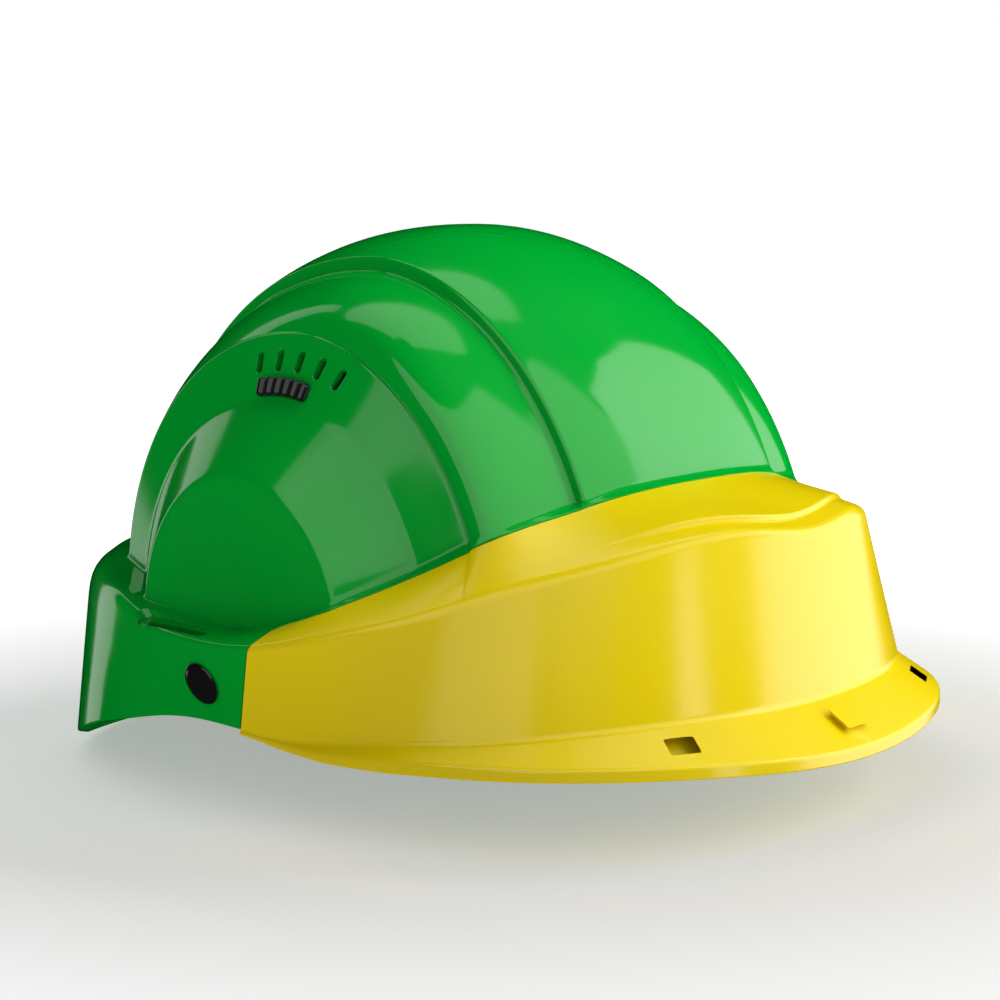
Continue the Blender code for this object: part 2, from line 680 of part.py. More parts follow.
def accessory_slot(side, tag):
    """Cutters for the flat-bottomed pocket and the slot in the shelf over the ear."""
    front, _ = shelf_point(SLOT_ANGLES[0], SLOT_SHARES[0])
    rear, _ = shelf_point(SLOT_ANGLES[1], SLOT_SHARES[1])
    middle, normal = shelf_point(sum(SLOT_ANGLES) / 2, sum(SLOT_SHARES) / 2)
    if side > 0:
        for v in (front, rear, middle, normal):
            v.x = -v.x
    frame = frame_at(middle, normal, rear - front)
    length = (rear - front).length
    slot = prism(f"accessory_slot_{tag}", stadium(length, SLOT_WIDTH), SLOT_DEPTH, frame, DARK, CUTTERS)
    lifted = frame @ Matrix.Translation((0, 0, 4 * MM - POCKET_DEPTH))
    outline = stadium(length + POCKET_WIDTH - SLOT_WIDTH, POCKET_WIDTH)
    return [prism(f"slot_pocket_{tag}", outline, 8 * MM, lifted, DARK, CUTTERS), slot]


def peak_pockets():
    """Three shallow rectangular pockets in the peak rim."""
    made = []
    for name, angle in (("middle", 0.0), ("right", 30.0), ("left", -30.0)):
        i = min(range(LOOP), key=lambda k: abs(LOWER.angles[k] - angle))
        p = (LOWER.rim[i] + LOWER.flange[i]) / 2
        normal = LOWER.n_flange[i]
        hint = Vector((-normal.y, normal.x, 0))
        frame = frame_at(p, normal, hint)
        w, h = 4.4 * MM, 2.9 * MM
        outline = [(-w, -h), (w, -h), (w, h), (-w, h)]
        made.append(prism(f"peak_pocket_{name}", outline, 2 * POCKET_SINK, frame, DARK, CUTTERS))
    return made


# ---------------------------------------------------------------- harness
def head_ring(angle, grow=0.0):
    """Headband centre line in plan; 0 front, positive towards -X."""
    turn = math.radians(angle)
    return Vector((-(HEAD_A + grow) * math.sin(turn), HEAD_Y - (HEAD_B + grow) * math.cos(turn), 0))


def head_normal(angle):
    """Outward horizontal normal of the headband ellipse."""
    turn = math.radians(angle)
    return Vector((-math.sin(turn) / HEAD_A, -math.cos(turn) / HEAD_B, 0)).normalized()


def band_z(angle):
    """Height of the headband's centre line."""
    mean, swing = (BAND_FRONT_Z + BAND_REAR_Z) / 2, (BAND_FRONT_Z - BAND_REAR_Z) / 2
    return mean + swing * math.cos(math.radians(angle))


def box_section(centre, out, height, thick):
    """Upright rectangle round a centre, thin along the outward direction."""
    up = Vector((0, 0, height / 2))
    o = out * thick / 2
    return [centre - o - up, centre + o - up, centre + o + up, centre - o + up]


def band_strip(name, start, end, steps, grow, height_at, thick, look):
    """Curved strip round the head between two angles."""
    sections = []
    for i in range(steps + 1):
        angle = start + (end - start) * i / steps
        out = head_normal(angle)
        centre = head_ring(angle) + out * grow + Vector((0, 0, band_z(angle)))
        sections.append(box_section(centre, out, height_at(angle), thick))
    return skin(name, sections, look)


def build_headband():
    """Front band, flexible side tails, sweatband."""
    def height(angle):
        t = min(max((abs(angle) - 60) / (BAND_END - 60), 0), 1)
        return BAND_HEIGHT + (TAIL_HEIGHT - BAND_HEIGHT) * t * t * (3 - 2 * t)
    band_strip("headband", -BAND_END, BAND_END, 52, BAND_THICK / 2, height, BAND_THICK, GREY)
    for side, tag in ((1, "right"), (-1, "left")):
        sections = []
        for i in range(15):
            angle = side * (BAND_END + 0.5 + (TAIL_END - 0.4 - BAND_END - 0.5) * i / 14)
            t = min(max((i / 14 - 0.45) / 0.5, 0.0), 1.0)
            t = t * t * (3 - 2 * t)
            out = head_normal(angle)
            z = band_z(angle) * (1 - t) + (BAND_REAR_Z + side * RACK_OFFSET) * t
            height = TAIL_HEIGHT * (1 - t) + (RACK_HEIGHT - 1.0 * MM) * t
            centre = head_ring(angle) + out * BAND_THICK / 2 + Vector((0, 0, z))
            sections.append(box_section(centre, out, height, BAND_THICK * 0.8))
        skin(f"band_tail_{tag}", sections, GREY)
    band_strip("sweatband", -78.0, 78.0, 40, -1.9 * MM, lambda a: BAND_HEIGHT - 3 * MM, 3.0 * MM, FOAM)


def nape_point(angle, radius, z):
    """Point on the nape arc; 0 is the rear middle, positive towards -X."""
    turn = math.radians(angle)
    return Vector((-radius * math.sin(turn), NAPE_Y + radius * math.cos(turn), z))


def rack_outline(side, angle, tooth):
    """Cross-section of a toothed rack; teeth point at the pinion."""
    height = RACK_HEIGHT if tooth else RACK_HEIGHT - 1.0 * MM
    inner = side * (RACK_OFFSET + RACK_HEIGHT / 2)
    outer_z = BAND_REAR_Z + inner
    inner_z = outer_z - side * height
    r0, r1 = NAPE_RADIUS + 0.2 * MM, NAPE_RADIUS + 1.6 * MM
    return [nape_point(angle, r0, outer_z), nape_point(angle, r1, outer_z),
            nape_point(angle, r1, inner_z), nape_point(angle, r0, inner_z)]


def build_nape():
    """Toothed racks, housing, cover, pinion, knob and nape pad."""
    step = math.degrees(RACK_PITCH / NAPE_RADIUS)
    for side, tag in ((1, "right"), (-1, "left")):
        sections = []
        start, end = -5, 10
        for k in range(start, end + 1):
            centre = side * (k + 0.5) * step
            if k == end:
                break
            for offset, tooth in ((-0.34, False), (-0.2, True), (0.2, True), (0.34, False)):
                sections.append(rack_outline(side, centre + side * offset * step, tooth))
        angle = side * (end + 0.2) * step
        sections.append(rack_outline(side, angle, False))
        sections += [rack_outline(side, side * a, False) for a in (32.0, 35.0, RACK_END)]
        skin(f"rack_{tag}", sections, DARK)

    zc = BAND_REAR_Z
    def ring_section(angle, corners):
        return [nape_point(angle, NAPE_RADIUS + r * MM, zc + z * MM) for r, z in corners]
    tray = ((-2.6, -16), (3.9, -16), (3.9, -13.6), (-0.3, -13.6))
    tray += ((-0.3, 13.6), (3.9, 13.6), (3.9, 16), (-2.6, 16))
    sections = [ring_section(-27 + 54 * i / 12, tray) for i in range(13)]
    skin("nape_housing", sections, GREY)
    lid = ((2.2, -13.2), (4.6, -13.2), (4.6, 13.2), (2.2, 13.2))
    cover = skin("nape_cover", [ring_section(-25 + 50 * i / 12, lid) for i in range(13)], DARK)
    centre = Vector((0, NAPE_Y + NAPE_RADIUS + 0.9 * MM, zc))
    axis = frame_at(centre, Vector((0, 1, 0)), Vector((1, 0, 0)))
    hole = turned("knob_hole", [(0, 9 * MM), (3.6 * MM, 9 * MM), (3.6 * MM, -0.5 * MM), (0, -0.5 * MM)],
                  axis, 24, DARK, CUTTERS)
    cut(cover, [hole])

    outline = []
    for k in range(8):
        for turn, radius in ((-14, 3.4), (-7, 4.6), (7, 4.6), (14, 3.4)):
            a = math.radians(k * 45 + turn)
            outline.append((radius * MM * math.cos(a), radius * MM * math.sin(a)))
    pinion = prism("ratchet_pinion", outline, 1.4 * MM, axis, GREY)
    corners = [math.radians(a) for a in range(0, 360, 60)]
    square = [(2.2 * MM * math.cos(a), 2.2 * MM * math.sin(a)) for a in corners]
    bore = prism("pinion_bore", square, 6 * MM, axis, DARK, CUTTERS)
    cut(pinion, [bore])

    grips = 36
    profile_rows = ((4.3, 12.4), (4.9, 13.2), (9.2, 12.9), (10.0, 12.0))
    rings = []
    for depth, radius in profile_rows:
        ring = []
        for k in range(grips):
            bump = 0.35 if k % 3 == 1 else (-0.45 if k % 3 == 0 else 0.35)
            a = 2 * math.pi * k / grips
            reach = (radius + bump) * MM
            ring.append(axis @ Vector((reach * math.cos(a), reach * math.sin(a), depth * MM)))
        rings.append(ring)
    knob = skin("ratchet_knob", rings, DARK)
    shaft = [(0, 5.0 * MM), (3.2 * MM, 5.0 * MM), (3.2 * MM, 1.0 * MM), (1.8 * MM, 1.0 * MM)]
    shaft += [(1.8 * MM, -0.8 * MM), (0, -0.8 * MM)]
    core = turned("knob_shaft", shaft, axis, 24, DARK, CUTTERS)
    join = knob.modifiers.new("shaft", "BOOLEAN")
    join.operation = "UNION"
    join.solver = "EXACT"
    join.object = core

    pad = ((-5.8, -12), (-2.9, -13.5), (-2.9, 13.5), (-5.8, 12))
    skin("nape_pad", [ring_section(-24 + 48 * i / 12, pad) for i in range(13)], FOAM)


def inner_wall(angle, z, spare):
    """Point on the inner face of the shell wall at a plan angle and height."""
    size = abs(angle)
    depth = SHELL_WALL + (BAND_SEAT if size < 92 else 0.0) + spare
    best = None
    for k in range(101):
        frame = skirt_frame(angle, k / 100, depth)
        p = frame.translation
        if best is None or abs(p.z - z) < abs(best.z - z):
            best = p
    return best.copy()


def build_hangers():
    """Four hangers between shell wall and headband, and the two crown straps."""
    arm_z = {}
    for place, angle in HANGER_ANGLES.items():
        centre = head_ring(angle)
        out = head_normal(angle)
        z0 = band_z(angle)
        rear = abs(angle) > 90
        low, high = (40 * MM, 47 * MM) if not rear else (24 * MM, 36 * MM)
        band_face = centre + out * (BAND_THICK + 0.4 * MM)
        def wall_reach(z):
            near = None
            for k in range(60):
                p = inner_wall(angle + (k - 30) * 0.8, z, 0.5 * MM)
                side = Vector((-out.y, out.x, 0)).dot(p - band_face)
                if near is None or abs(side) < near[0]:
                    near = (abs(side), out.dot(p - band_face))
            return near[1] - 0.6 * MM
        reach_low, reach_high = wall_reach(low), wall_reach(high)
        tail_foot = z0 - (9 * MM if not rear else 6 * MM)
        arm = low + 2 * MM
        arm_z[place] = (arm + 3 * MM, band_face)
        outline = [(0, tail_foot), (2.4 * MM, tail_foot), (2.4 * MM, arm)]
        outline += [(reach_low - 2.2 * MM, arm), (reach_low - 2.2 * MM, low), (reach_low, low)]
        outline += [(reach_high, high), (reach_high - 2.6 * MM, high)]
        outline += [(reach_low - 2.6 * MM, arm + 3 * MM), (0, arm + 3 * MM)]
        frame = frame_at(band_face, out.cross(Vector((0, 0, 1))), out)
        flip = 1 if (frame.to_3x3() @ Vector((0, 1, 0))).z > 0 else -1
        points = [(r, flip * z) for r, z in outline]
        origin = Matrix.Translation((band_face.x, band_face.y, 0)) @ frame.to_3x3().to_4x4()
        prism(f"hanger_{place}", points, 13 * MM, origin, DARK)

    for name, first, last, lift in (("crown_strap_lower", "front_right", "rear_left", 0.0),
                                    ("crown_strap_upper", "front_left", "rear_right", 2.6 * MM)):
        z_a, p_a = arm_z[first]
        z_b, p_b = arm_z[last]
        start = Vector((p_a.x, p_a.y, z_a + 0.5 * MM)) + head_normal(HANGER_ANGLES[first]) * 3.4 * MM
        stop = Vector((p_b.x, p_b.y, z_b + 0.5 * MM)) + head_normal(HANGER_ANGLES[last]) * 3.4 * MM
        top = STRAP_TOP + lift
        plan = stop - start
        plan.z = 0
        across = Vector((-plan.y, plan.x, 0)).normalized()
        half = plan.length / 2
        centres = []
        for i in range(41):
            turn = math.radians(180 * i / 40)
            u = -math.cos(turn) * (1 - 0.12 * math.sin(turn) ** 2)
            foot = start.z if u < 0 else stop.z
            base = Vector(((start.x + stop.x) / 2, (start.y + stop.y) / 2, 0))
            z = foot + (top - foot) * math.sin(turn)
            centres.append(base + plan.normalized() * half * u + Vector((0, 0, z)))
        sections = []
        along = tangents(centres, False)
        for p, t in zip(centres, along):
            n = across.cross(t).normalized()
            w, h = across * STRAP_WIDTH / 2, n * STRAP_THICK / 2
            sections.append([p - w - h, p + w - h, p + w + h, p - w + h])
        skin(name, sections, WEBBING)


# ---------------------------------------------------------------- assembly
SHELL = build_shell()
BAND = build_front_band()
shell_cutters, band_cutters = [], peak_pockets()
for side_sign, side_tag in ((-1, "right"), (1, "left")):
    shell_cutters += build_vents(side_sign, side_tag)
    through, blind = build_side_pieces(side_sign, side_tag)
    shell_cutters += through
    band_cutters += blind
    shell_cutters += accessory_slot(side_sign, side_tag)
cut(SHELL, shell_cutters)
cut(BAND, band_cutters)
build_headband()
build_nape()
build_hangers()
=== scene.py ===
"""Looks of the vented hard hat: smooth moulded shell and front band, soft harness, studio."""

import math

import bmesh
import bpy
from mathutils import Matrix, Vector


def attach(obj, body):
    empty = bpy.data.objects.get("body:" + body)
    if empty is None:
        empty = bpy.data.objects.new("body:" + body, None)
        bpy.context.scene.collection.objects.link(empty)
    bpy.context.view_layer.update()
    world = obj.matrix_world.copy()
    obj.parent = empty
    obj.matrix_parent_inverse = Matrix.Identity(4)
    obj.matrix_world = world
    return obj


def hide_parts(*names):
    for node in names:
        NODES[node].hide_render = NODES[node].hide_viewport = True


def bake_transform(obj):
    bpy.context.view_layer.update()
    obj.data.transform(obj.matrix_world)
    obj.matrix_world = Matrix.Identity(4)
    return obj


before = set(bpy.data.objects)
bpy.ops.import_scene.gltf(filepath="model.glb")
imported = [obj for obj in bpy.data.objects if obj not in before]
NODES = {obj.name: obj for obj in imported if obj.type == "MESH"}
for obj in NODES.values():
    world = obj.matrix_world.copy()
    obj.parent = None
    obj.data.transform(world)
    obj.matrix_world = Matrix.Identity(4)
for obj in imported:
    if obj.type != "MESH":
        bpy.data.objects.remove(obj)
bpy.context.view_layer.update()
MM = 0.001

# ---------------------------------------------------------------- dimensions, as in the CAD part
EAR_Y, EAR_Z = 9.5 * MM, 51.0 * MM
ARCH_FRONT, ARCH_TOP, ARCH_REAR = 90.5 * MM, 109.0 * MM, 95.5 * MM
ARCH_POWER_FRONT, ARCH_POWER_REAR = 1.84, 2.11
# Side-to-centre profile in hundredths of the arch radius and millimetres from the centre.
POLE = (0.0, 101.5)
CHEEK_EDGE, FACET_EDGE = (39.0, 101.0), (57.0, 84.0)
EAR_DOME_EDGE, LEDGE_FOOT = (73.0, 77.0), (73.4, 76.2)
MID_HANDLE, CROWN_FOOT, CROWN_EDGE = (84.0, 84.0), (89.8, 47.6), (93.2, 46.9)
CROWN_POWER = 2.2
# Towards the rear the middle layer is flatter and the crown's edge lower.
REAR_HANDLE, REAR_CROWN = (-1.2, -19.0), -1.6
REAR_START, REAR_SPAN = 50.0, 60.0
PLAN_Y = -4.5 * MM
SHOULDER_PLAN = (117.0 * MM, 107.2 * MM, 135.5 * MM, 1.78, 1.93)
RIM_PLAN = (108.0 * MM, 110.0 * MM, 133.0 * MM, 2.56, 2.56)
SHOULDER_HEIGHTS = (
    (0, 78.3), (20, 80.0), (45, 71.2), (70, 58.0), (88, 50.4),
    (105, 50.3), (112, 51.6), (122, 57.6), (145, 58.5), (180, 59.0),
)
RIM_HEIGHTS = (
    (0, 31.8), (30, 32.6), (60, 28.4), (84, 24.2), (106, 25.2), (125, 17.5), (150, 3.0), (180, 0.0),
)
FLANGE_OUT, FLANGE_DROP, LIP_HEIGHT, LIP_INNER = 16.5 * MM, 11.0 * MM, 3.4 * MM, 2.8 * MM
SHELL_WALL, BAND_WALL, BAND_SEAT, BORDER_LIP = 2.8 * MM, 2.5 * MM, 3.2 * MM, 3.0 * MM
SEAM_SHARE, SEAM_LEAN, SEAM_CORNER = 20.0, 6.0, 5.0 * MM
SEAM_REAR = 19.85
BORDER_SMOOTH = 6.0 * MM
BROW_BACK, BROW_RISE, BROW_WIDTH, BROW_FADE = 8.0 * MM, 1.3 * MM, 0.8 * MM, (22.0, 38.0)
BAND_GAP = 0.25 * MM
DOME_CENTRE = Vector((0, 2.0 * MM, 20 * MM))
COLUMNS, INNER_COLUMNS = 96, 30
VENT_SHARE, VENT_ANGLES = 66.5, (75.0, 81.0, 87.0, 93.0, 99.0)
VENT_LENGTH, VENT_WIDTH = 6.4 * MM, 2.3 * MM
SLIDER_SHARE, SLIDER_ANGLE, SLIDER_SPAN, SLIDER_HALF = 59.7, 89.5, 8.2, 2.4
SLIDER_TRAVEL = 3.0
SLOT_ANGLES, SLOT_SHARES = (99.5, 112.5), (0.46, 0.61)
SLOT_WIDTH, POCKET_WIDTH, POCKET_DEPTH = 2.8 * MM, 5.8 * MM, 0.9 * MM
BUTTON_ANGLE, BUTTON_HOLE = 96.0, 3.4 * MM
PEAK_POCKET_ANGLES, PEAK_POCKET_SINK = (0.0, 30.0, -30.0), 1.5 * MM
PEAK_POCKET_HALF, PEAK_POCKET_CORNER = (4.4 * MM, 2.9 * MM), 0.5 * MM
HEAD_Y, HEAD_A, HEAD_B = 10.0 * MM, 80.0 * MM, 98.0 * MM
BAND_FRONT_Z, BAND_REAR_Z = 46.0 * MM, 21.0 * MM
BAND_HEIGHT, TAIL_HEIGHT, BAND_THICK = 28.0 * MM, 14.0 * MM, 1.8 * MM
BAND_END, TAIL_END = 104.0, 150.6
NAPE_RADIUS = 65.0 * MM
NAPE_Y = HEAD_Y + HEAD_B - NAPE_RADIUS
KNOB_OUT = 0.9 * MM
RACK_OFFSET, RACK_HEIGHT = 7.7 * MM, 6.0 * MM


# ---------------------------------------------------------------- mesh helpers
def add_object(name, mesh):
    """Link a mesh as an object at the frame's origin."""
    item = bpy.data.objects.new(name, mesh)
    bpy.context.scene.collection.objects.link(item)
    return item


def mesh_from(name, points, faces, merge=1e-6):
    """Mesh with coincident points merged and its faces turned to agree with each other."""
    mesh = bpy.data.meshes.new(name)
    mesh.from_pydata([tuple(p) for p in points], [], faces)
    work = bmesh.new()
    work.from_mesh(mesh)
    bmesh.ops.remove_doubles(work, verts=work.verts[:], dist=merge)
    bmesh.ops.dissolve_degenerate(work, edges=work.edges[:], dist=1e-7)
    bmesh.ops.recalc_face_normals(work, faces=work.faces[:])
    work.to_mesh(mesh)
    work.free()
    return mesh


def loft(name, sections, closed_run=False):
    """Quads between a row of equal closed outlines, ends capped."""
    count, rows = len(sections[0]), len(sections)
    points = [p for section in sections for p in section]
    faces = []
    for i in range(rows if closed_run else rows - 1):
        for j in range(count):
            a, b, k = i * count, (i + 1) % rows * count, (j + 1) % count
            faces.append((a + j, a + k, b + k, b + j))
    if not closed_run:
        faces.append(tuple(range(count)))
        faces.append(tuple((rows - 1) * count + j for j in range(count)))
    return add_object(name, mesh_from(name, points, faces))


def bend(a, p, b, t):
    """Point at t on the curve from a to b that is pulled towards p."""
    return (1 - t) ** 2 * a + 2 * t * (1 - t) * p + t * t * b


def soft_corner(a, p, b, size, steps):
    """Points round the corner p between a and b, cut back by the size on both sides."""
    one, two = a - p, b - p
    start = p + one * min(size / max(one.length, 1e-9), 0.45)
    end = p + two * min(size / max(two.length, 1e-9), 0.45)
    return [bend(start, p, end, i / steps) for i in range(steps + 1)]


def rounded_outline(points, sizes, steps=4):
    """Closed outline with each corner rounded by its own size."""
    out, n = [], len(points)
    for i, (p, size) in enumerate(zip(points, sizes)):
        out += soft_corner(points[i - 1], p, points[(i + 1) % n], size, steps)
    return out


def smooth_faces(item, angle=35.0, weighted=True):
    """Smooth shading with hard edges over the angle."""
    item.data.shade_smooth()
    item.data.set_sharp_from_angle(angle=math.radians(angle))
    if weighted:
        step = item.modifiers.new("normals", "WEIGHTED_NORMAL")
        step.keep_sharp = True
        step.weight = 80
    return item


def apply_modifiers(item):
    """Replace the mesh by its evaluated result."""
    graph = bpy.context.evaluated_depsgraph_get()
    made = bpy.data.meshes.new_from_object(item.evaluated_get(graph))
    item.modifiers.clear()
    old = item.data
    item.data = made
    bpy.data.meshes.remove(old)
    return item


def carve(item, cutters):
    """Take each cutter out of the item in turn, then delete the cutters."""
    for tool in cutters:
        step = item.modifiers.new("cut", "BOOLEAN")
        step.operation = "DIFFERENCE"
        step.solver = "EXACT"
        step.object = tool
    apply_modifiers(item)
    for tool in cutters:
        bpy.data.objects.remove(tool, do_unlink=True)


def frame_at(origin, z_axis, x_hint):
    """Local frame with the given Z and an X close to the hint."""
    z = z_axis.normalized()
    x = (x_hint - z * x_hint.dot(z)).normalized()
    turn = Matrix((x, z.cross(x), z)).transposed().to_4x4()
    return Matrix.Translation(origin) @ turn


def stadium(length, width, steps=10):
    """Slot outline with round ends, long in X."""
    radius, shift = width / 2, (length - width) / 2
    outline = []
    for end in (1, -1):
        for i in range(steps + 1):
            turn = math.radians(-90 + 180 * i / steps)
            outline.append((end * (shift + radius * math.cos(turn)), end * radius * math.sin(turn)))
    return outline


def circle(radius, step):
    """Round outline with a point every so many degrees."""
    turns = [math.radians(a) for a in range(0, 360, step)]
    return [(radius * math.cos(a), radius * math.sin(a)) for a in turns]


def flared_cutter(name, outline, low, high, place, flare=0.35 * MM):
    """Cutter along the frame's Z whose mouth at Z = 0 is chamfered."""
    def ring(z, grow):
        out = []
        for x, y in outline:
            size = math.hypot(x, y)
            out.append(place @ Vector((x + x / size * grow, y + y / size * grow, z)))
        return out
    rings = [ring(low, 0.0), ring(-flare, 0.0), ring(0.0, flare), ring(high, flare + high)]
    return loft(name, rings)


def turned(name, profile_at, place, steps):
    """Closed solid turned round the frame's Z; profile_at(turn) gives (radius, height) points."""
    rings = []
    for i in range(steps):
        a = 2 * math.pi * i / steps
        rings.append([place @ Vector((r * math.cos(a), r * math.sin(a), h)) for r, h in profile_at(a)])
    points = [p for ring in rings for p in ring]
    n = len(rings[0])
    faces = [
        (i * n + j, i * n + j + 1, (i + 1) % steps * n + j + 1, (i + 1) % steps * n + j)
        for i in range(steps) for j in range(n - 1)
    ]
    return add_object(name, mesh_from(name, points, faces))


# ---------------------------------------------------------------- surface of the helmet
def smooth_between(stations, at):
    """Catmull-Rom value through (angle, value) stations that mirror at both ends."""
    at, n = abs(at), len(stations)
    i = max(k for k in range(n - 1) if stations[k][0] <= at)

    def slope(k):
        if k in (0, n - 1):
            return 0.0
        (pa, pv), (na, nv) = stations[k - 1], stations[k + 1]
        return (nv - pv) / (na - pa)

    (a0, v0), (a1, v1) = stations[i], stations[i + 1]
    t = (at - a0) / (a1 - a0)
    m0, m1 = slope(i) * (a1 - a0), slope(i + 1) * (a1 - a0)
    cubic = (2 * t**3 - 3 * t**2 + 1) * v0 + (t**3 - 2 * t**2 + t) * m0
    return cubic + (3 * t**2 - 2 * t**3) * v1 + (t**3 - t**2) * m1


def ease(t):
    """Smooth step from 0 to 1."""
    t = min(max(t, 0.0), 1.0)
    return t * t * (3 - 2 * t)


def oval_radius(c, s, reach, width, power):
    """Radius of a superellipse towards the direction (c, s)."""
    return ((abs(c) / reach) ** power + (abs(s) / width) ** power) ** (-1 / power)


def arch_radius(angle):
    """Radius of the outermost arch; 0 front, 90 up, 180 rear."""
    c, s = math.cos(math.radians(angle)), math.sin(math.radians(angle))
    reach, power = (ARCH_FRONT, ARCH_POWER_FRONT) if c >= 0 else (ARCH_REAR, ARCH_POWER_REAR)
    return oval_radius(c, s, reach, ARCH_TOP, power)


def dome_point(x, share, angle):
    """Point of the dome; x in millimetres, share in hundredths of the arch radius."""
    radius = share / 100 * arch_radius(angle)
    turn = math.radians(angle)
    return Vector((x * MM, EAR_Y - radius * math.cos(turn), EAR_Z + radius * math.sin(turn)))


def base_angles(share):
    """Arch angles where the dome meets the front slope and the rear shelf."""
    share = share / 100
    return 7.5 + 30.0 * share - 11.8 * share * share, 173.5 - 3.7 * share


def between(a, b, step):
    """Evenly spaced points after a up to b, no further apart than the step."""
    n = max(int(math.ceil((b - a).length / step)), 1)
    return [a.lerp(b, i / n) for i in range(1, n + 1)]


def half_profile():
    """(share, x) rows from the ear centre to the crown line, corners rounded."""
    def at(pair):
        return Vector((*pair, 0.0))
    slope = (CHEEK_EDGE[1] - POLE[1]) / CHEEK_EDGE[0]
    rows = [at(POLE)]
    shares = (0.8, 2.0, 4.0, 6.5, 9.5, 13.0, 16.5, SEAM_REAR, SEAM_SHARE)
    shares += (20.4, 20.9, 21.5, 22.2, 23.0, 24.0, 25.2, 26.6)
    rows += [Vector((share, POLE[1] + slope * share, 0)) for share in shares]
    knots = [rows.pop(), at(CHEEK_EDGE), at(FACET_EDGE), at(EAR_DOME_EDGE), at(LEDGE_FOOT)]
    start, handle, end = at(LEDGE_FOOT), at(MID_HANDLE), at(CROWN_FOOT)
    bulge = [bend(start, handle, end, i / 30) for i in range(1, 31)]
    crown = []
    for i in range(27, -1, -1):
        x_share = i / 28
        share = 100 - (100 - CROWN_EDGE[0]) * x_share**CROWN_POWER
        crown.append(Vector((share, CROWN_EDGE[1] * x_share, 0)))
    corners = [
        (knots[0], knots[1], knots[2], 1.6), (knots[1], knots[2], knots[3], 1.6),
        (knots[2], knots[3], knots[4], 0.9), (knots[3], knots[4], bulge[0], 0.9),
    ]
    here = knots[0]
    rows.append(here)
    for a, p, b, size in corners:
        arc = soft_corner(a, p, b, size, 5)
        rows += between(here, arc[0], 1.7)[:-1] + arc
        here = arc[-1]
    rows += [p for p in bulge[:-1] if p.x > here.x + 0.2]
    arc = soft_corner(bulge[-2], end, at(CROWN_EDGE), 1.2, 5)
    while rows[-1].x > arc[0].x - 0.1:
        rows.pop()
    rows += arc
    rows += soft_corner(end, at(CROWN_EDGE), crown[0], 1.1, 5)
    rows += [p for p in crown if p.y < rows[-1].y - 0.3]
    return [(p.x, p.y) for p in rows]


def rear_drift(share, x):
    """Change of share and half width that a row takes on towards the rear."""
    if share <= LEDGE_FOOT[0]:
        return 0.0, 0.0
    if share < CROWN_FOOT[0]:
        square = LEDGE_FOOT[0] - 2 * MID_HANDLE[0] + CROWN_FOOT[0]
        single = 2 * (MID_HANDLE[0] - LEDGE_FOOT[0])
        lacking = LEDGE_FOOT[0] - share
        t = -2 * lacking / (single + math.sqrt(single**2 - 4 * square * lacking))
        bow = 2 * t * (1 - t)
        return bow * REAR_HANDLE[0] + t * t * REAR_CROWN, bow * REAR_HANDLE[1]
    return REAR_CROWN * min(abs(x) / CROWN_EDGE[1], 1.0) ** CROWN_POWER, 0.0


def row_point(row, angle):
    """Point of a profile row at an arch angle."""
    share, x = FULL_ROWS[row]
    t = ease((angle - REAR_START) / REAR_SPAN)
    change, shift = rear_drift(share, x)
    narrow = shift * t if x > 0 else -shift * t
    return dome_point(x + narrow, share + change * t, angle)


def plan_ring(plan, heights, angle):
    """Point of a lower ring; positive angles run round the -X side."""
    width, front, rear, front_power, rear_power = plan
    c, s = math.cos(math.radians(angle)), math.sin(math.radians(angle))
    reach, power = (front, front_power) if c >= 0 else (rear, rear_power)
    radius = oval_radius(c, s, reach, width, power)
    return Vector((-radius * s, PLAN_Y - radius * c, smooth_between(heights, angle) * MM))


def plan_angle(p):
    """Plan angle of a point seen from the plan centre."""
    return math.degrees(math.atan2(-p.x, PLAN_Y - p.y))


def plan_radius(p):
    """Distance from the plan centre."""
    return math.hypot(p.x, p.y - PLAN_Y)


def run_directions(line):
    """Unit directions along a closed line."""
    n = len(line)
    return [(line[(i + 1) % n] - line[i - 1]).normalized() for i in range(n)]


def strip_normals(along, upper, lower):
    """Outward normals of the strip between an upper and a lower line."""
    out = []
    for t, a, b in zip(along, upper, lower):
        normal = t.cross(b - a).normalized()
        outward = Vector((a.x, a.y - PLAN_Y, 0.05))
        out.append(normal if normal.dot(outward) > 0 else -normal)
    return out


def smooth_border(raw):
    """Border line evened out along its length."""
    n, out = len(raw), []
    for i in range(n):
        total, radius, height = 0.0, 0.0, 0.0
        for side in (1, -1):
            k, run = i, 0.0
            while run < 3 * BORDER_SMOOTH:
                step = (k + side) % n
                length = (raw[step] - raw[k]).length
                weight = math.exp(-0.5 * ((run + length / 2) / BORDER_SMOOTH) ** 2) * length
                radius += (plan_radius(raw[step]) + plan_radius(raw[k])) * weight / 2
                height += (raw[step].z + raw[k].z) * weight / 2
                total += weight
                run += length
                k = step
        ray = Vector((raw[i].x, raw[i].y - PLAN_Y, 0)).normalized()
        out.append(Vector((0, PLAN_Y, height / total)) + ray * (radius / total))
    return out


ROWS = half_profile()
N = len(ROWS)
FULL_ROWS = [(s, -x) for s, x in ROWS] + [(s, x) for s, x in reversed(ROWS[:-1])]


class Lines:
    """The named lines of the lower body, one point per base-line vertex."""


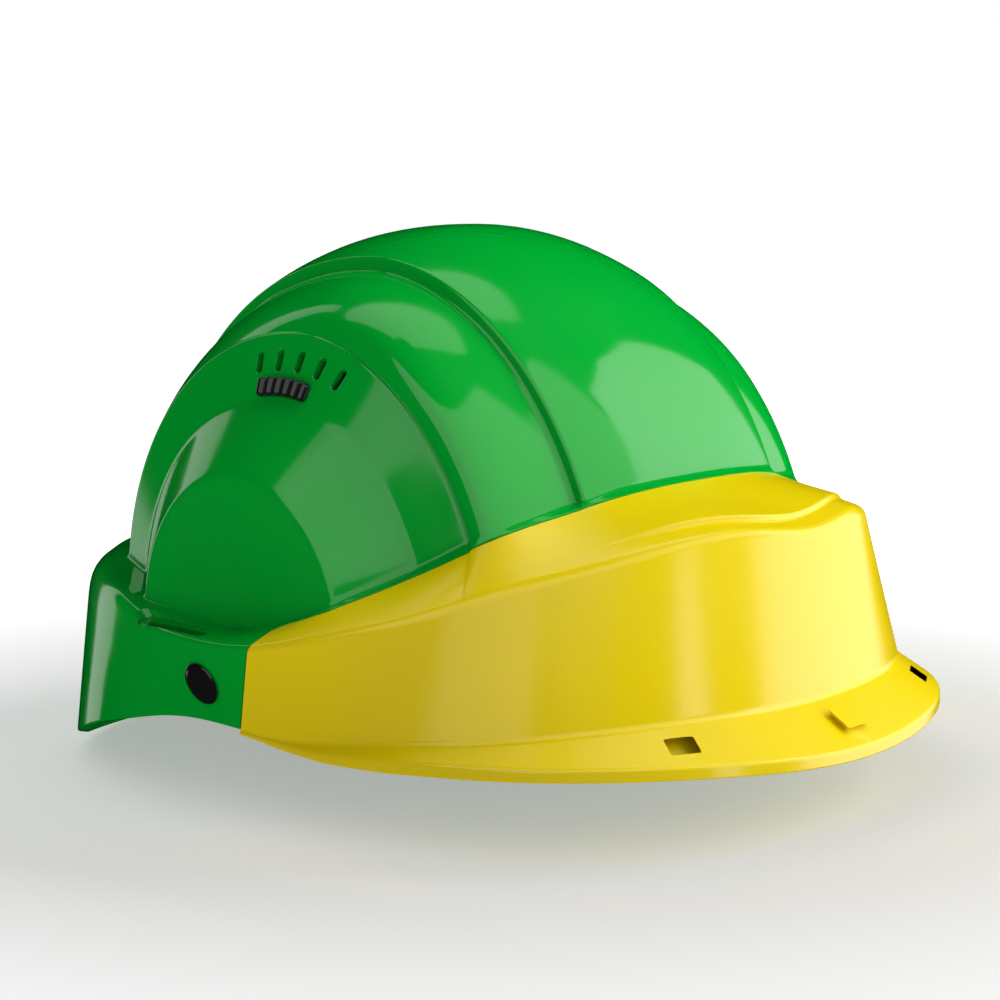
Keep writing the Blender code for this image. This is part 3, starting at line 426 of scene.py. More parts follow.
def lower_lines():
    """Base, border, shoulder, rim, flange and lip lines with their normals."""
    out = Lines()
    last = len(FULL_ROWS) - 1
    out.loop = [(i, 0) for i in range(N - 1, 0, -1)] + [(0, 0)] + [(i, 1) for i in range(1, last)]
    out.loop += [(last, 0)] + [(i, 0) for i in range(last - 1, N - 1, -1)]
    out.base = []
    for row, end in out.loop:
        out.base.append(row_point(row, base_angles(FULL_ROWS[row][0])[end]))
    out.angles = [plan_angle(p) for p in out.base]
    out.shoulder = [plan_ring(SHOULDER_PLAN, SHOULDER_HEIGHTS, a) for a in out.angles]
    leaned = [a + SEAM_LEAN * math.sin(math.radians(a)) ** 3 for a in out.angles]
    out.rim = [plan_ring(RIM_PLAN, RIM_HEIGHTS, a) for a in leaned]
    raw = [b + (s - b).normalized() * BORDER_LIP for b, s in zip(out.base, out.shoulder)]
    out.border = smooth_border(raw)
    seams = [i for i, (row, end) in enumerate(out.loop) if end == 0 and FULL_ROWS[row][0] == SEAM_SHARE]
    for i, (row, end) in enumerate(out.loop):
        away = min((out.shoulder[i] - out.shoulder[k]).length for k in seams)
        if end == 0 and FULL_ROWS[row][0] >= SEAM_SHARE and away < SEAM_CORNER:
            drop = SEAM_CORNER - math.sqrt(SEAM_CORNER**2 - (SEAM_CORNER - away) ** 2)
            out.border[i] += (out.shoulder[i] - out.border[i]).normalized() * drop
    out.flange, out.lip, out.away = [], [], []
    for a, k in zip(out.angles, out.rim):
        forward = max(math.cos(math.radians(a)), 0.0)
        taper = min(forward / 0.3, 1.0)
        away = Vector((k.x, k.y - PLAN_Y, 0)).normalized()
        reach = max(taper * (1.0 * MM + (FLANGE_OUT - 1.0 * MM) * forward**2), 0.4 * MM)
        drop = max(taper * (1.1 * MM + (FLANGE_DROP - 1.1 * MM) * forward**2), 0.4 * MM)
        edge = k + away * reach - Vector((0, 0, drop))
        height = 0.5 * MM + (LIP_HEIGHT - 0.5 * MM) * min(forward / 0.45, 1.0)
        out.flange.append(edge)
        out.lip.append(edge - Vector((0, 0, height)))
        out.away.append(away)
    along = run_directions(out.shoulder)
    out.n_slope = strip_normals(along, out.border, out.shoulder)
    out.n_face = strip_normals(along, out.shoulder, out.rim)
    out.n_flange = strip_normals(run_directions(out.rim), out.rim, out.flange)
    out.n_dome = [(p - DOME_CENTRE).normalized() for p in out.base]
    return out


LOWER = lower_lines()
LOOP = len(LOWER.base)


def inset(p, n1, n2, depth):
    """Corner p moved in by the depth from both of its faces."""
    return p - depth * (n1 + n2) / (1 + n1.dot(n2))


def is_front(i):
    """True where the front band covers the shell."""
    row, end = LOWER.loop[i]
    return end == 0 and FULL_ROWS[row][0] >= SEAM_SHARE


def near_seam(i):
    """True for the short overlap just behind the seam."""
    row, end = LOWER.loop[i]
    return end == 0 and 0.0 < FULL_ROWS[row][0] < SEAM_SHARE


def fillet_angle(share, angle):
    """Half length of the base fillet and the arch angle that it spans."""
    radius = max(share / 100 * arch_radius(angle), 1e-6)
    size = min(1.5 * MM, 0.3 * radius)
    return size, math.degrees(size / radius)


def outer_line(i):
    """Shell's outer line under the dome, from the base fillet to the rim edge."""
    row, end = LOWER.loop[i]
    share = FULL_ROWS[row][0]
    y, s, k = LOWER.border[i], LOWER.shoulder[i], LOWER.rim[i]
    n1, n2 = LOWER.n_slope[i], LOWER.n_face[i]
    base = LOWER.base[i]
    angle = base_angles(share)[end]
    size, turn = fillet_angle(share, angle)
    above = row_point(row, angle + (-turn if end else turn)) if share else base
    below = base + (y - base) * min(1.5 * MM / (y - base).length, 0.45)
    line = [bend(above, base, below, j / 4) for j in range(5)]
    slope, face = (s - y).normalized(), (k - s).normalized()
    if is_front(i):
        d = BAND_SEAT
        edge = 0.45 * MM
        back = (base - y).normalized()
        line += [y + back * edge, y + back * 0.13 * MM - n1 * 0.13 * MM, y - n1 * edge]
        foot = y + slope * 0.05 * MM - d * n1
        corner = inset(s, n1, n2, d)
        bottom = k - d * n2 - face * 1.6 * MM
        line.append(foot)
        line += soft_corner(foot, corner, bottom, 1.5 * MM, 6)
        line += [corner.lerp(bottom, 0.4), corner.lerp(bottom, 0.7), bottom, bottom, bottom]
        return line
    line += [y, y.lerp(s, 0.14), y.lerp(s, 0.28), y.lerp(s, 0.4)]
    size = (1.9 + 7.0 * ease((abs(LOWER.angles[i]) - 108) / 26)) * MM
    line += soft_corner(y, s, k, size, 6)
    last = line[-1]
    rim = k - face * 0.8 * MM
    line += [last.lerp(rim, 0.33), last.lerp(rim, 0.66), rim]
    line += [k - face * 0.22 * MM - n2 * 0.2 * MM, k - n2 * 0.8 * MM]
    return line


def inner_line(i):
    """Shell's inner line under the dome, base to rim."""
    deep = is_front(i) or near_seam(i)
    depth = SHELL_WALL + (BAND_SEAT if deep else 0.0)
    y, s, k = LOWER.border[i], LOWER.shoulder[i], LOWER.rim[i]
    n0, n1, n2 = LOWER.n_dome[i], LOWER.n_slope[i], LOWER.n_face[i]
    base = inset(LOWER.base[i], n0, n1, depth)
    corner = inset(s, n1, n2, depth)
    lift = 1.6 * MM if is_front(i) else 0.0
    bottom = k - depth * n2 + (s - k).normalized() * lift
    return [base, y - depth * n1] + soft_corner(y - depth * n1, corner, bottom, 2.0 * MM, 3) + [bottom]


def shell_mesh():
    """Dome, rear shelf and nape skirt as one closed wall."""
    points, faces = [], []

    def add(p):
        points.append(p)
        return len(points) - 1

    def strip(a, b):
        return [(a[j], a[(j + 1) % LOOP], b[(j + 1) % LOOP], b[j]) for j in range(LOOP)]

    edges = []
    for inner in (False, True):
        lines = [inner_line(i) if inner else outer_line(i) for i in range(LOOP)]
        rows = [[add(line[j]) for line in lines] for j in range(len(lines[0]))]
        first = {key: rows[0][n] for n, key in enumerate(LOWER.loop)}
        columns = INNER_COLUMNS if inner else COLUMNS
        grid = []
        for r, (share, _) in enumerate(FULL_ROWS):
            if share == 0:
                grid.append([first[(r, 0)]])
                continue
            low, high = base_angles(share)
            if not inner:
                low += fillet_angle(share, low)[1]
                high -= fillet_angle(share, high)[1]
            line = [first[(r, 0)]]
            for j in range(1, columns):
                p = row_point(r, low + (high - low) * j / columns)
                if inner:
                    p = p - (p - DOME_CENTRE).normalized() * SHELL_WALL
                line.append(add(p))
            line.append(first[(r, 1)])
            grid.append(line)
        for a, b in zip(grid, grid[1:]):
            if len(a) == 1 or len(b) == 1:
                pole, line = (a[0], b) if len(a) == 1 else (b[0], a)
                faces += [(pole, line[j], line[j + 1]) for j in range(len(line) - 1)]
            else:
                faces += [(a[j], a[j + 1], b[j + 1], b[j]) for j in range(columns)]
        for a, b in zip(rows, rows[1:]):
            faces += strip(a, b)
        edges.append(rows[-1])
    faces += strip(*edges)
    return mesh_from("shell_skin", points, faces)


def skirt_frame(angle, share):
    """Frame on the outer wall between shoulder (0) and rim (1); Z outward."""
    size = abs(angle)
    lean = SEAM_LEAN * math.sin(math.radians(size)) ** 3
    s, k = plan_ring(SHOULDER_PLAN, SHOULDER_HEIGHTS, size), plan_ring(RIM_PLAN, RIM_HEIGHTS, size + lean)
    s2 = plan_ring(SHOULDER_PLAN, SHOULDER_HEIGHTS, size + 1)
    k2 = plan_ring(RIM_PLAN, RIM_HEIGHTS, size + 1 + lean)
    p = s.lerp(k, share)
    normal = (s2.lerp(k2, share) - p).cross(k - s).normalized()
    if normal.x > 0:
        normal = -normal
    if angle < 0:
        p.x, normal.x = -p.x, -normal.x
    return frame_at(p, normal, Vector((0, 0, 1)).cross(normal))


def facet_frame(side, share, angle):
    """Frame on the vent facet: X along the arch, Z outward."""
    def at(s, a):
        t = (s - FACET_EDGE[0]) / (EAR_DOME_EDGE[0] - FACET_EDGE[0])
        return dome_point(side * (FACET_EDGE[1] + (EAR_DOME_EDGE[1] - FACET_EDGE[1]) * t), s, a)
    p = at(share, angle)
    along, climb = at(share, angle + 1) - p, at(share + 1, angle) - p
    normal = along.cross(climb).normalized()
    return frame_at(p, normal if normal.x * side > 0 else -normal, along)


def shelf_point(angle, share):
    """Point between border line and shoulder at a plan angle, with its normal."""
    for i in range(LOOP):
        k = (i + 1) % LOOP
        low, high = LOWER.angles[i], LOWER.angles[k]
        if low <= angle <= high and high - low < 90:
            t = (angle - low) / (high - low)
            border = LOWER.border[i].lerp(LOWER.border[k], t)
            shoulder = LOWER.shoulder[i].lerp(LOWER.shoulder[k], t)
            normal = LOWER.n_slope[i].lerp(LOWER.n_slope[k], t).normalized()
            return border.lerp(shoulder, share), normal
    raise ValueError("angle outside the border line")


def shell_cutters():
    """Vents, slider windows, accessory slots and button holes."""
    tools = []
    quarter = Matrix.Rotation(math.radians(90), 4, "Z")
    for side in (-1, 1):
        for n, angle in enumerate(VENT_ANGLES):
            place = facet_frame(side, VENT_SHARE, angle) @ quarter
            outline = stadium(VENT_LENGTH, VENT_WIDTH)
            tools.append(flared_cutter("vent_cut", outline, -7 * MM, 2 * MM, place, 0.3 * MM))
        place = facet_frame(side, SLIDER_SHARE, SLIDER_ANGLE + SLIDER_TRAVEL / 2)
        window = stadium(9.2 * MM, 2.7 * MM)
        tools.append(flared_cutter("window_cut", window, -7 * MM, 2 * MM, place, 0.2 * MM))
        front, _ = shelf_point(SLOT_ANGLES[0], SLOT_SHARES[0])
        rear, _ = shelf_point(SLOT_ANGLES[1], SLOT_SHARES[1])
        middle, normal = shelf_point(sum(SLOT_ANGLES) / 2, sum(SLOT_SHARES) / 2)
        if side > 0:
            for v in (front, rear, middle, normal):
                v.x = -v.x
        place = frame_at(middle, normal, rear - front)
        length = (rear - front).length
        sunk = place @ Matrix.Translation((0, 0, -POCKET_DEPTH))
        slot = stadium(length, SLOT_WIDTH)
        tools.append(flared_cutter("slot_cut", slot, -7 * MM, 0.1 * MM, sunk, 0.2 * MM))
        pocket = stadium(length + POCKET_WIDTH - SLOT_WIDTH, POCKET_WIDTH)
        tools.append(flared_cutter("pocket_cut", pocket, -POCKET_DEPTH, 2 * MM, place, 0.3 * MM))
        place = skirt_frame(-side * BUTTON_ANGLE, 0.52)
        tools.append(flared_cutter("button_cut", circle(BUTTON_HOLE, 10), -8 * MM, 2 * MM, place, 0.2 * MM))
    return tools


def band_mesh():
    """Front band: sloped top with its brow step, tall face, sloping flange and lip."""
    order = sorted((i for i in range(LOOP) if is_front(i)), key=lambda i: LOWER.angles[i])
    sections = []
    for place, i in enumerate(order):
        n1, n2, n3 = LOWER.n_slope[i], LOWER.n_face[i], LOWER.n_flange[i]
        slope = (LOWER.shoulder[i] - LOWER.border[i]).normalized()
        y = LOWER.border[i] + slope * BAND_GAP
        s, k, g, lip = LOWER.shoulder[i], LOWER.rim[i], LOWER.flange[i], LOWER.lip[i]
        back = min(BROW_BACK, 0.6 * (s - y).length)
        fade = ease((BROW_FADE[1] - abs(LOWER.angles[i])) / (BROW_FADE[1] - BROW_FADE[0]))
        rise = n1 * (BROW_RISE * fade)
        step_top, step_foot = s - slope * back + rise, s - slope * (back - BROW_WIDTH)
        middle = y.lerp(s - slope * back, 0.55) + rise * 0.45
        outline = [
            (y, 0.5), (middle, 3.0), (step_top, 0.55 * fade + 0.05), (step_foot, 0.35 * fade + 0.05),
            (s, 2.3), (k, 1.3), (g, 0.9), (lip, 0.5), (lip - LOWER.away[i] * LIP_INNER, 0.4),
            (inset(k, n2, n3, BAND_WALL), 0.8), (inset(s, n1, n2, BAND_WALL), 1.0),
            (y - BAND_WALL * n1, 0.3),
        ]
        made = rounded_outline([p for p, _ in outline], [d * MM for _, d in outline])
        if place in (0, len(order) - 1):
            inward = order[1] if place == 0 else order[-2]
            pull = (LOWER.shoulder[inward] - s).normalized()
            middle_line = sum(made, Vector()) / len(made)
            ends = []
            for shift, shrink in ((0.0, 0.35), (0.12, 0.12), (0.4, 0.0)):
                ends.append([
                    p + pull * (BAND_GAP + shift * MM)
                    + (middle_line - p).normalized() * min(shrink * MM, 0.3 * (middle_line - p).length)
                    for p in made
                ])
            sections += ends if place == 0 else ends[::-1]
            continue
        sections.append(made)
    return loft("front_band_skin", sections)


def peak_pocket_cutters():
    """Shallow pockets in the peak rim, one in the middle and one each side."""
    tools = []
    for angle in PEAK_POCKET_ANGLES:
        i = min(range(LOOP), key=lambda k: abs(LOWER.angles[k] - angle))
        p, normal = (LOWER.rim[i] + LOWER.flange[i]) / 2, LOWER.n_flange[i]
        place = frame_at(p, normal, Vector((-normal.y, normal.x, 0)))
        w, h, r = *PEAK_POCKET_HALF, PEAK_POCKET_CORNER
        corners = ((w - r, h - r, 0), (r - w, h - r, 90), (r - w, r - h, 180), (w - r, r - h, 270))
        outline = []
        for cx, cy, start in corners:
            for a in (0, 30, 60, 90):
                t = math.radians(start + a)
                outline.append((cx + r * math.cos(t), cy + r * math.sin(t)))
        tools.append(flared_cutter("pocket_cut", outline, -PEAK_POCKET_SINK, 2 * MM, place, 0.15 * MM))
    return tools


# ---------------------------------------------------------------- harness lines
def head_ring(angle, grow=0.0):
    """Headband line in plan; 0 front, positive towards -X."""
    turn = math.radians(angle)
    return Vector((-(HEAD_A + grow) * math.sin(turn), HEAD_Y - (HEAD_B + grow) * math.cos(turn), 0))


def head_normal(angle):
    """Outward horizontal normal of the headband ellipse."""
    turn = math.radians(angle)
    return Vector((-math.sin(turn) / HEAD_A, -math.cos(turn) / HEAD_B, 0)).normalized()


def band_z(angle):
    """Height of the headband's centre line."""
    mean, swing = (BAND_FRONT_Z + BAND_REAR_Z) / 2, (BAND_FRONT_Z - BAND_REAR_Z) / 2
    return mean + swing * math.cos(math.radians(angle))


def upright_section(centre, out, height, thick, corner, steps=3):
    """Rounded upright rectangle, thin along the outward direction."""
    up, o = Vector((0, 0, height / 2)), out * thick / 2
    points = [centre - o - up, centre + o - up, centre + o + up, centre - o + up]
    return rounded_outline(points, [corner] * 4, steps)


def nape_point(angle, radius, z):
    """Point on the nape arc; 0 is the rear middle, positive towards -X."""
    turn = math.radians(angle)
    return Vector((-radius * math.sin(turn), NAPE_Y + radius * math.cos(turn), z))


def nape_loft(name, corners, half_span, steps, corner):
    """Rounded section swept along the nape arc; corners are (radius offset, height) in mm."""
    sections = []
    for i in range(steps + 1):
        angle = half_span * (2 * i / steps - 1)
        points = [nape_point(angle, NAPE_RADIUS + r * MM, BAND_REAR_Z + z * MM) for r, z in corners]
        sections.append(rounded_outline(points, [corner * MM] * len(points), 3))
    return loft(name, sections)


def strap_line(first, last, lift):
    """Centre line of one crown strap and its sideways direction."""
    ends = []
    for angle in (first, last):
        out = head_normal(angle)
        z = (29.5 if abs(angle) > 90 else 45.5) * MM
        ends.append(head_ring(angle) + out * (BAND_THICK + 3.8 * MM) + Vector((0, 0, z)))
    start, stop = ends
    plan = stop - start
    plan.z = 0
    across, half = Vector((-plan.y, plan.x, 0)).normalized(), plan.length / 2
    middle = Vector(((start.x + stop.x) / 2, (start.y + stop.y) / 2, 0))
    line = []
    for i in range(161):
        turn = math.radians(180 * i / 160)
        u = -math.cos(turn) * (1 - 0.12 * math.sin(turn) ** 2)
        foot = start.z if u < 0 else stop.z
        z = foot + (121 * MM + lift - foot) * math.sin(turn)
        line.append(middle + plan.normalized() * half * u + Vector((0, 0, z)))
    return line, across


# ---------------------------------------------------------------- materials
class Look:
    """A node material with short ways to add and join nodes."""

    def __init__(self, name):
        self.made = bpy.data.materials.new(name)
        self.made.use_nodes = True
        self.tree = self.made.node_tree
        self.shader = self.tree.nodes["Principled BSDF"]
        self.place = self.tree.nodes.new("ShaderNodeTexCoord").outputs["Object"]

    def node(self, kind, inputs=(), **settings):
        made = self.tree.nodes.new("ShaderNode" + kind)
        for key, value in settings.items():
            setattr(made, key, value)
        for key, value in dict(inputs).items():
            self.put(made.inputs[key], value)
        return made

    def put(self, socket, value):
        if isinstance(value, bpy.types.NodeSocket):
            self.tree.links.new(value, socket)
        else:
            socket.default_value = value

    def noise(self, scale, detail=2.0, stretch=None, rough=0.5):
        place = self.place
        if stretch:
            place = self.node("Mapping", {"Vector": place, "Scale": stretch}).outputs[0]
        values = {"Vector": place, "Scale": scale, "Detail": detail, "Roughness": rough}
        return self.node("TexNoise", values).outputs["Fac"]

    def spread(self, value, low, high, a, b):
        values = {"Value": value, "From Min": low, "From Max": high, "To Min": a, "To Max": b}
        return self.node("MapRange", values).outputs["Result"]

    def sums(self, how, a, b):
        made = self.node("Math", operation=how)
        self.put(made.inputs[0], a)
        self.put(made.inputs[1], b)
        return made.outputs[0]

    def colour(self, share, a, b):
        made = self.node("Mix", data_type="RGBA")
        self.put(made.inputs[0], share)
        self.put(made.inputs[6], (*a, 1) if isinstance(a, tuple) else a)
        self.put(made.inputs[7], (*b, 1) if isinstance(b, tuple) else b)
        return made.outputs[2]

    def bump(self, height, strength, distance):
        values = {"Height": height, "Strength": strength, "Distance": distance}
        self.put(self.shader.inputs["Normal"], self.node("Bump", values).outputs[0])


def plastic(name, colour, deep, roughness, grain=(1500.0, 0.05), wave=0.02, wear=0.2, worn=None):
    """Moulded plastic: flow tint, grain, faint waviness, rubbed edges and hairline scuffs."""
    look = Look(name)
    flow = look.spread(look.noise(14.0, 3.0), 0.35, 0.65, 0.0, 1.0)
    tint = look.colour(flow, deep, colour)
    edges = look.node("NewGeometry").outputs["Pointiness"]
    rub = look.spread(edges, 0.535, 0.62, 0.0, 1.0)
    patchy = look.spread(look.noise(120.0, 4.0), 0.4, 0.7, 0.0, wear)
    rub = look.sums("MULTIPLY", rub, patchy)
    pale = worn or tuple(min(c * 1.5 + 0.06, 1.0) for c in colour)
    look.put(look.shader.inputs["Base Color"], look.colour(rub, tint, pale))
    fine = look.noise(grain[0], 2.0)
    broad = look.noise(70.0, 1.0)
    scuff = look.noise(30.0, 5.0, stretch=(1.0, 1.0, 26.0), rough=0.7)
    scuff = look.spread(scuff, 0.66, 0.74, 0.0, 0.07)
    rough = look.spread(look.noise(45.0, 3.0), 0.3, 0.7, roughness - 0.02, roughness + 0.03)
    rough = look.sums("ADD", rough, scuff)
    rough = look.sums("ADD", rough, look.sums("MULTIPLY", rub, 0.3))
    look.put(look.shader.inputs["Roughness"], rough)
    height = look.sums("ADD", look.sums("MULTIPLY", fine, grain[1]), look.sums("MULTIPLY", broad, wave))
    look.bump(height, 1.0, 0.001)
    look.shader.inputs["IOR"].default_value = 1.5
    return look.made


def woven(name, colour, thread, pitch, weft_axis="Z", uv=False):
    """Cloth of crossing threads with fuzz; the pitch is one thread pair in metres."""
    look = Look(name)
    if uv:
        look.place = look.node("UVMap", uv_map="weave").outputs[0]
    wobble = look.noise(160.0, 2.0)
    scale = 0.314 / pitch
    axes = ("X", "Y") if uv else ("X", weft_axis)
    waves = []
    for axis in axes:
        values = {"Vector": look.place, "Scale": scale, "Distortion": 0.6, "Detail": 1.0, "Detail Scale": 2.0}
        made = look.node("TexWave", values, wave_type="BANDS", bands_direction=axis)
        waves.append(made.outputs["Fac"])
    height = look.sums("MULTIPLY", look.sums("ADD", *waves), 0.5)
    shade = look.spread(height, 0.15, 0.85, 0.0, 1.0)
    shade = look.sums("MULTIPLY", shade, look.spread(wobble, 0.2, 0.8, 0.6, 1.1))
    look.put(look.shader.inputs["Base Color"], look.colour(shade, colour, thread))
    look.put(look.shader.inputs["Roughness"], look.spread(wobble, 0.3, 0.7, 0.78, 0.95))
    fuzz = look.sums("MULTIPLY", look.noise(2600.0, 3.0), 0.35)
    look.bump(look.sums("ADD", height, fuzz), 0.7, 0.0004)
    look.shader.inputs["Sheen Weight"].default_value = 0.25
    look.shader.inputs["Sheen Roughness"].default_value = 0.5
    return look.made


GREEN = plastic("green_gloss", (0.0, 0.375, 0.029), (0.0, 0.357, 0.027), 0.09, (900.0, 0.002), 0.008, 0.25)
YELLOW = plastic("yellow_gloss", (0.86, 0.66, 0.0), (0.84, 0.64, 0.0), 0.17, (1800.0, 0.018), 0.006, 0.35)
BLACK = plastic("black_gloss", (0.010, 0.010, 0.011), (0.007, 0.007, 0.008), 0.16, (1200.0, 0.01), 0.02, 0.5)
MATTE = plastic("black_matte", (0.020, 0.020, 0.022), (0.015, 0.015, 0.017), 0.46, (1400.0, 0.2), 0.03, 0.5)
GREY = plastic("harness_grey", (0.095, 0.095, 0.105), (0.075, 0.075, 0.083), 0.42, (1200.0, 0.12), 0.03, 0.4)
WEBBING = woven("webbing", (0.012, 0.012, 0.014), (0.055, 0.055, 0.062), 0.9 * MM, uv=True)
KNIT = woven("knit_cover", (0.018, 0.018, 0.021), (0.085, 0.085, 0.095), 1.1 * MM)
THREAD = plastic("stitch_thread", (0.32, 0.32, 0.33), (0.22, 0.22, 0.23), 0.75, (2500.0, 0.3), 0.0, 0.2)


def dress(item, look, body, slot, *nodes):
    """Give a piece its material and body and hide the CAD nodes that it stands for; slot is not used."""
    item.data.materials.clear()
    item.data.materials.append(look)
    if body:
        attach(item, body)
    if nodes:
        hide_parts(*nodes)
    return item


def repaint(node, look, bevel=0.2 * MM):
    """New material and softened edges for a CAD node that is kept."""
    item = NODES[node]
    for place in range(max(len(item.material_slots), 1)):
        if not item.material_slots:
            item.data.materials.append(look)
        item.material_slots[place].link = "OBJECT"
        item.material_slots[place].material = look
    step = item.modifiers.new("edges", "BEVEL")
    step.width = bevel
    step.segments = 2
    step.limit_method = "ANGLE"
    step.angle_limit = math.radians(35)


# ---------------------------------------------------------------- shell, band and fittings
def make_shell():
    """The green shell with its openings."""
    skin = add_object("shell_skin", shell_mesh())
    carve(skin, shell_cutters())
    smooth_faces(skin, 32)
    dress(skin, GREEN, "helmet", "green_shell", "shell")


def make_band():
    """The yellow front band.

    Known fault: the body is closed and faces outwards before carve(), but the finished skin has
    open edges and is inside out, and its peak pockets are not the CAD part's shallow recesses.
    The cause was not found.
    """
    skin = band_mesh()
    carve(skin, peak_pocket_cutters())
    smooth_faces(skin, 32)
    dress(skin, YELLOW, "helmet", "yellow_band", "front_band")


def make_slider(side, tag):
    """Ribbed vent slider with rounded ends, on a stem through the window."""
    sections = []
    steps, ribs = 108, 6
    for i in range(steps + 1):
        u = i / steps
        angle = SLIDER_ANGLE + SLIDER_SPAN * (2 * u - 1)
        edge = max(1 - abs(2 * u - 1) ** 14, 0.0) ** 0.5
        half = SLIDER_HALF * (0.62 + 0.38 * edge)
        rib = abs(math.sin(math.pi * ribs * u)) ** 0.7
        top = (0.75 + (0.5 + 1.05 * rib) * (0.25 + 0.75 * edge)) * MM
        corners = []
        for share, height in ((-half, 0.5 * MM), (half, 0.5 * MM), (half * 0.86, top), (-half * 0.86, top)):
            place = facet_frame(side, SLIDER_SHARE + share, angle)
            corners.append(place @ Vector((0, 0, height)))
        sections.append(rounded_outline(corners, [0.15 * MM, 0.15 * MM, 0.6 * MM, 0.6 * MM], 4))
    plate = loft(f"vent_slider_skin_{tag}", sections)
    place = facet_frame(side, SLIDER_SHARE, SLIDER_ANGLE)
    rings = []
    for z in (0.9, -4.6):
        rings.append([place @ Vector((x, y, z * MM)) for x, y in stadium(4.6 * MM, 1.8 * MM)])
    stem = loft("stem", rings)
    work = bmesh.new()
    work.from_mesh(plate.data)
    work.from_mesh(stem.data)
    work.to_mesh(plate.data)
    work.free()
    bpy.data.objects.remove(stem, do_unlink=True)
    smooth_faces(plate, 40)
    dress(plate, BLACK, f"vent_flap_{tag}", "black_gloss", f"vent_slider_{tag}")


def make_button(side, tag):
    """Domed button with a fine rim on its shaft."""
    profile = [
        (0.0, 2.4), (1.3, 2.36), (2.6, 2.22), (3.7, 1.96), (4.6, 1.58), (5.0, 1.34), (5.15, 1.2),
        (5.3, 1.16), (5.6, 1.08), (5.95, 0.86), (6.15, 0.6), (6.2, 0.42), (6.1, 0.35), (3.05, 0.35),
        (3.0, 0.3), (3.0, -8.8), (2.8, -9.0), (0.0, -9.0),
    ]
    place = skirt_frame(-side * BUTTON_ANGLE, 0.52)
    profile = [(r * MM, h * MM) for r, h in profile]
    skin = turned(f"side_button_skin_{tag}", lambda turn: profile, place, 72)
    smooth_faces(skin, 50)
    dress(skin, BLACK, "helmet", "black_gloss", f"side_button_{tag}")


def knob_frame():
    """Frame on the knob's axis at the nape housing; Z to the rear."""
    centre = Vector((0, NAPE_Y + NAPE_RADIUS + KNOB_OUT, BAND_REAR_Z))
    return frame_at(centre, Vector((0, 1, 0)), Vector((1, 0, 0)))


def make_knob():
    """Scalloped knob with a dished face and its shaft."""
    rows = (
        (0.0, -0.8, 0), (1.7, -0.8, 0), (1.8, -0.7, 0), (1.8, 1.0, 0), (3.1, 1.0, 0), (3.2, 1.1, 0),
        (3.2, 4.3, 0), (11.6, 4.3, 0.3), (12.4, 4.35, 0.7), (12.9, 4.6, 1), (13.2, 5.1, 1),
        (13.2, 7.0, 1), (13.1, 8.6, 1), (12.8, 9.3, 0.9), (12.2, 9.8, 0.7), (11.2, 10.0, 0.3),
        (10.2, 9.95, 0.0), (9.4, 9.6, 0), (8.8, 9.2, 0), (5.0, 9.0, 0), (0.0, 9.0, 0),
    )

    def scalloped(turn):
        groove = (0.5 + 0.5 * math.cos(12 * turn)) ** 4
        return [((r + part * (0.35 - 0.85 * groove)) * MM, h * MM) for r, h, part in rows]

    skin = turned("ratchet_knob_skin", scalloped, knob_frame(), 192)
    smooth_faces(skin, 38)
    dress(skin, MATTE, "knob", "black_matte", "ratchet_knob")


# ---------------------------------------------------------------- harness pieces
def headband_height(angle):
    """Height of the headband, falling towards the tails."""
    return BAND_HEIGHT + (TAIL_HEIGHT - BAND_HEIGHT) * ease((abs(angle) - 60) / (BAND_END - 60))


def make_headband():
    """Rounded headband, lower towards its tails."""
    sections = []
    for i in range(241):
        angle = BAND_END * (2 * i / 240 - 1)
        out = head_normal(angle)
        centre = head_ring(angle) + out * BAND_THICK / 2 + Vector((0, 0, band_z(angle)))
        sections.append(upright_section(centre, out, headband_height(angle), BAND_THICK, 0.6 * MM))
    skin = loft("headband_skin", sections)
    smooth_faces(skin, 40)
    dress(skin, GREY, "helmet", "harness_grey", "headband")


def make_tail(side, tag):
    """Tail in two lengths, a front piece and a rear piece."""
    first, last = BAND_END + 0.5, TAIL_END - 0.4
    middles, sections = [], []
    for i in range(81):
        u = i / 80
        angle = side * (first + (last - first) * u)
        t = ease((u - 0.45) / 0.5)
        out = head_normal(angle)
        z = band_z(angle) * (1 - t) + (BAND_REAR_Z + side * RACK_OFFSET) * t
        height = TAIL_HEIGHT * (1 - t) + (RACK_HEIGHT - 1.0 * MM) * t
        centre = head_ring(angle) + out * BAND_THICK / 2 + Vector((0, 0, z))
        middles.append(centre)
        sections.append(upright_section(centre, out, height, BAND_THICK * 0.8, 0.5 * MM))
    front = loft(f"band_tail_front_{tag}", sections[:36])
    rear = loft(f"band_tail_rear_{tag}", sections[35:])
    for item in (front, rear):
        smooth_faces(item, 40, weighted=False)
        dress(item, GREY, None, "harness_grey")
    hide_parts(f"band_tail_{tag}")
    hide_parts(f"band_tail_{tag}")
    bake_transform(front)
    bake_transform(rear)


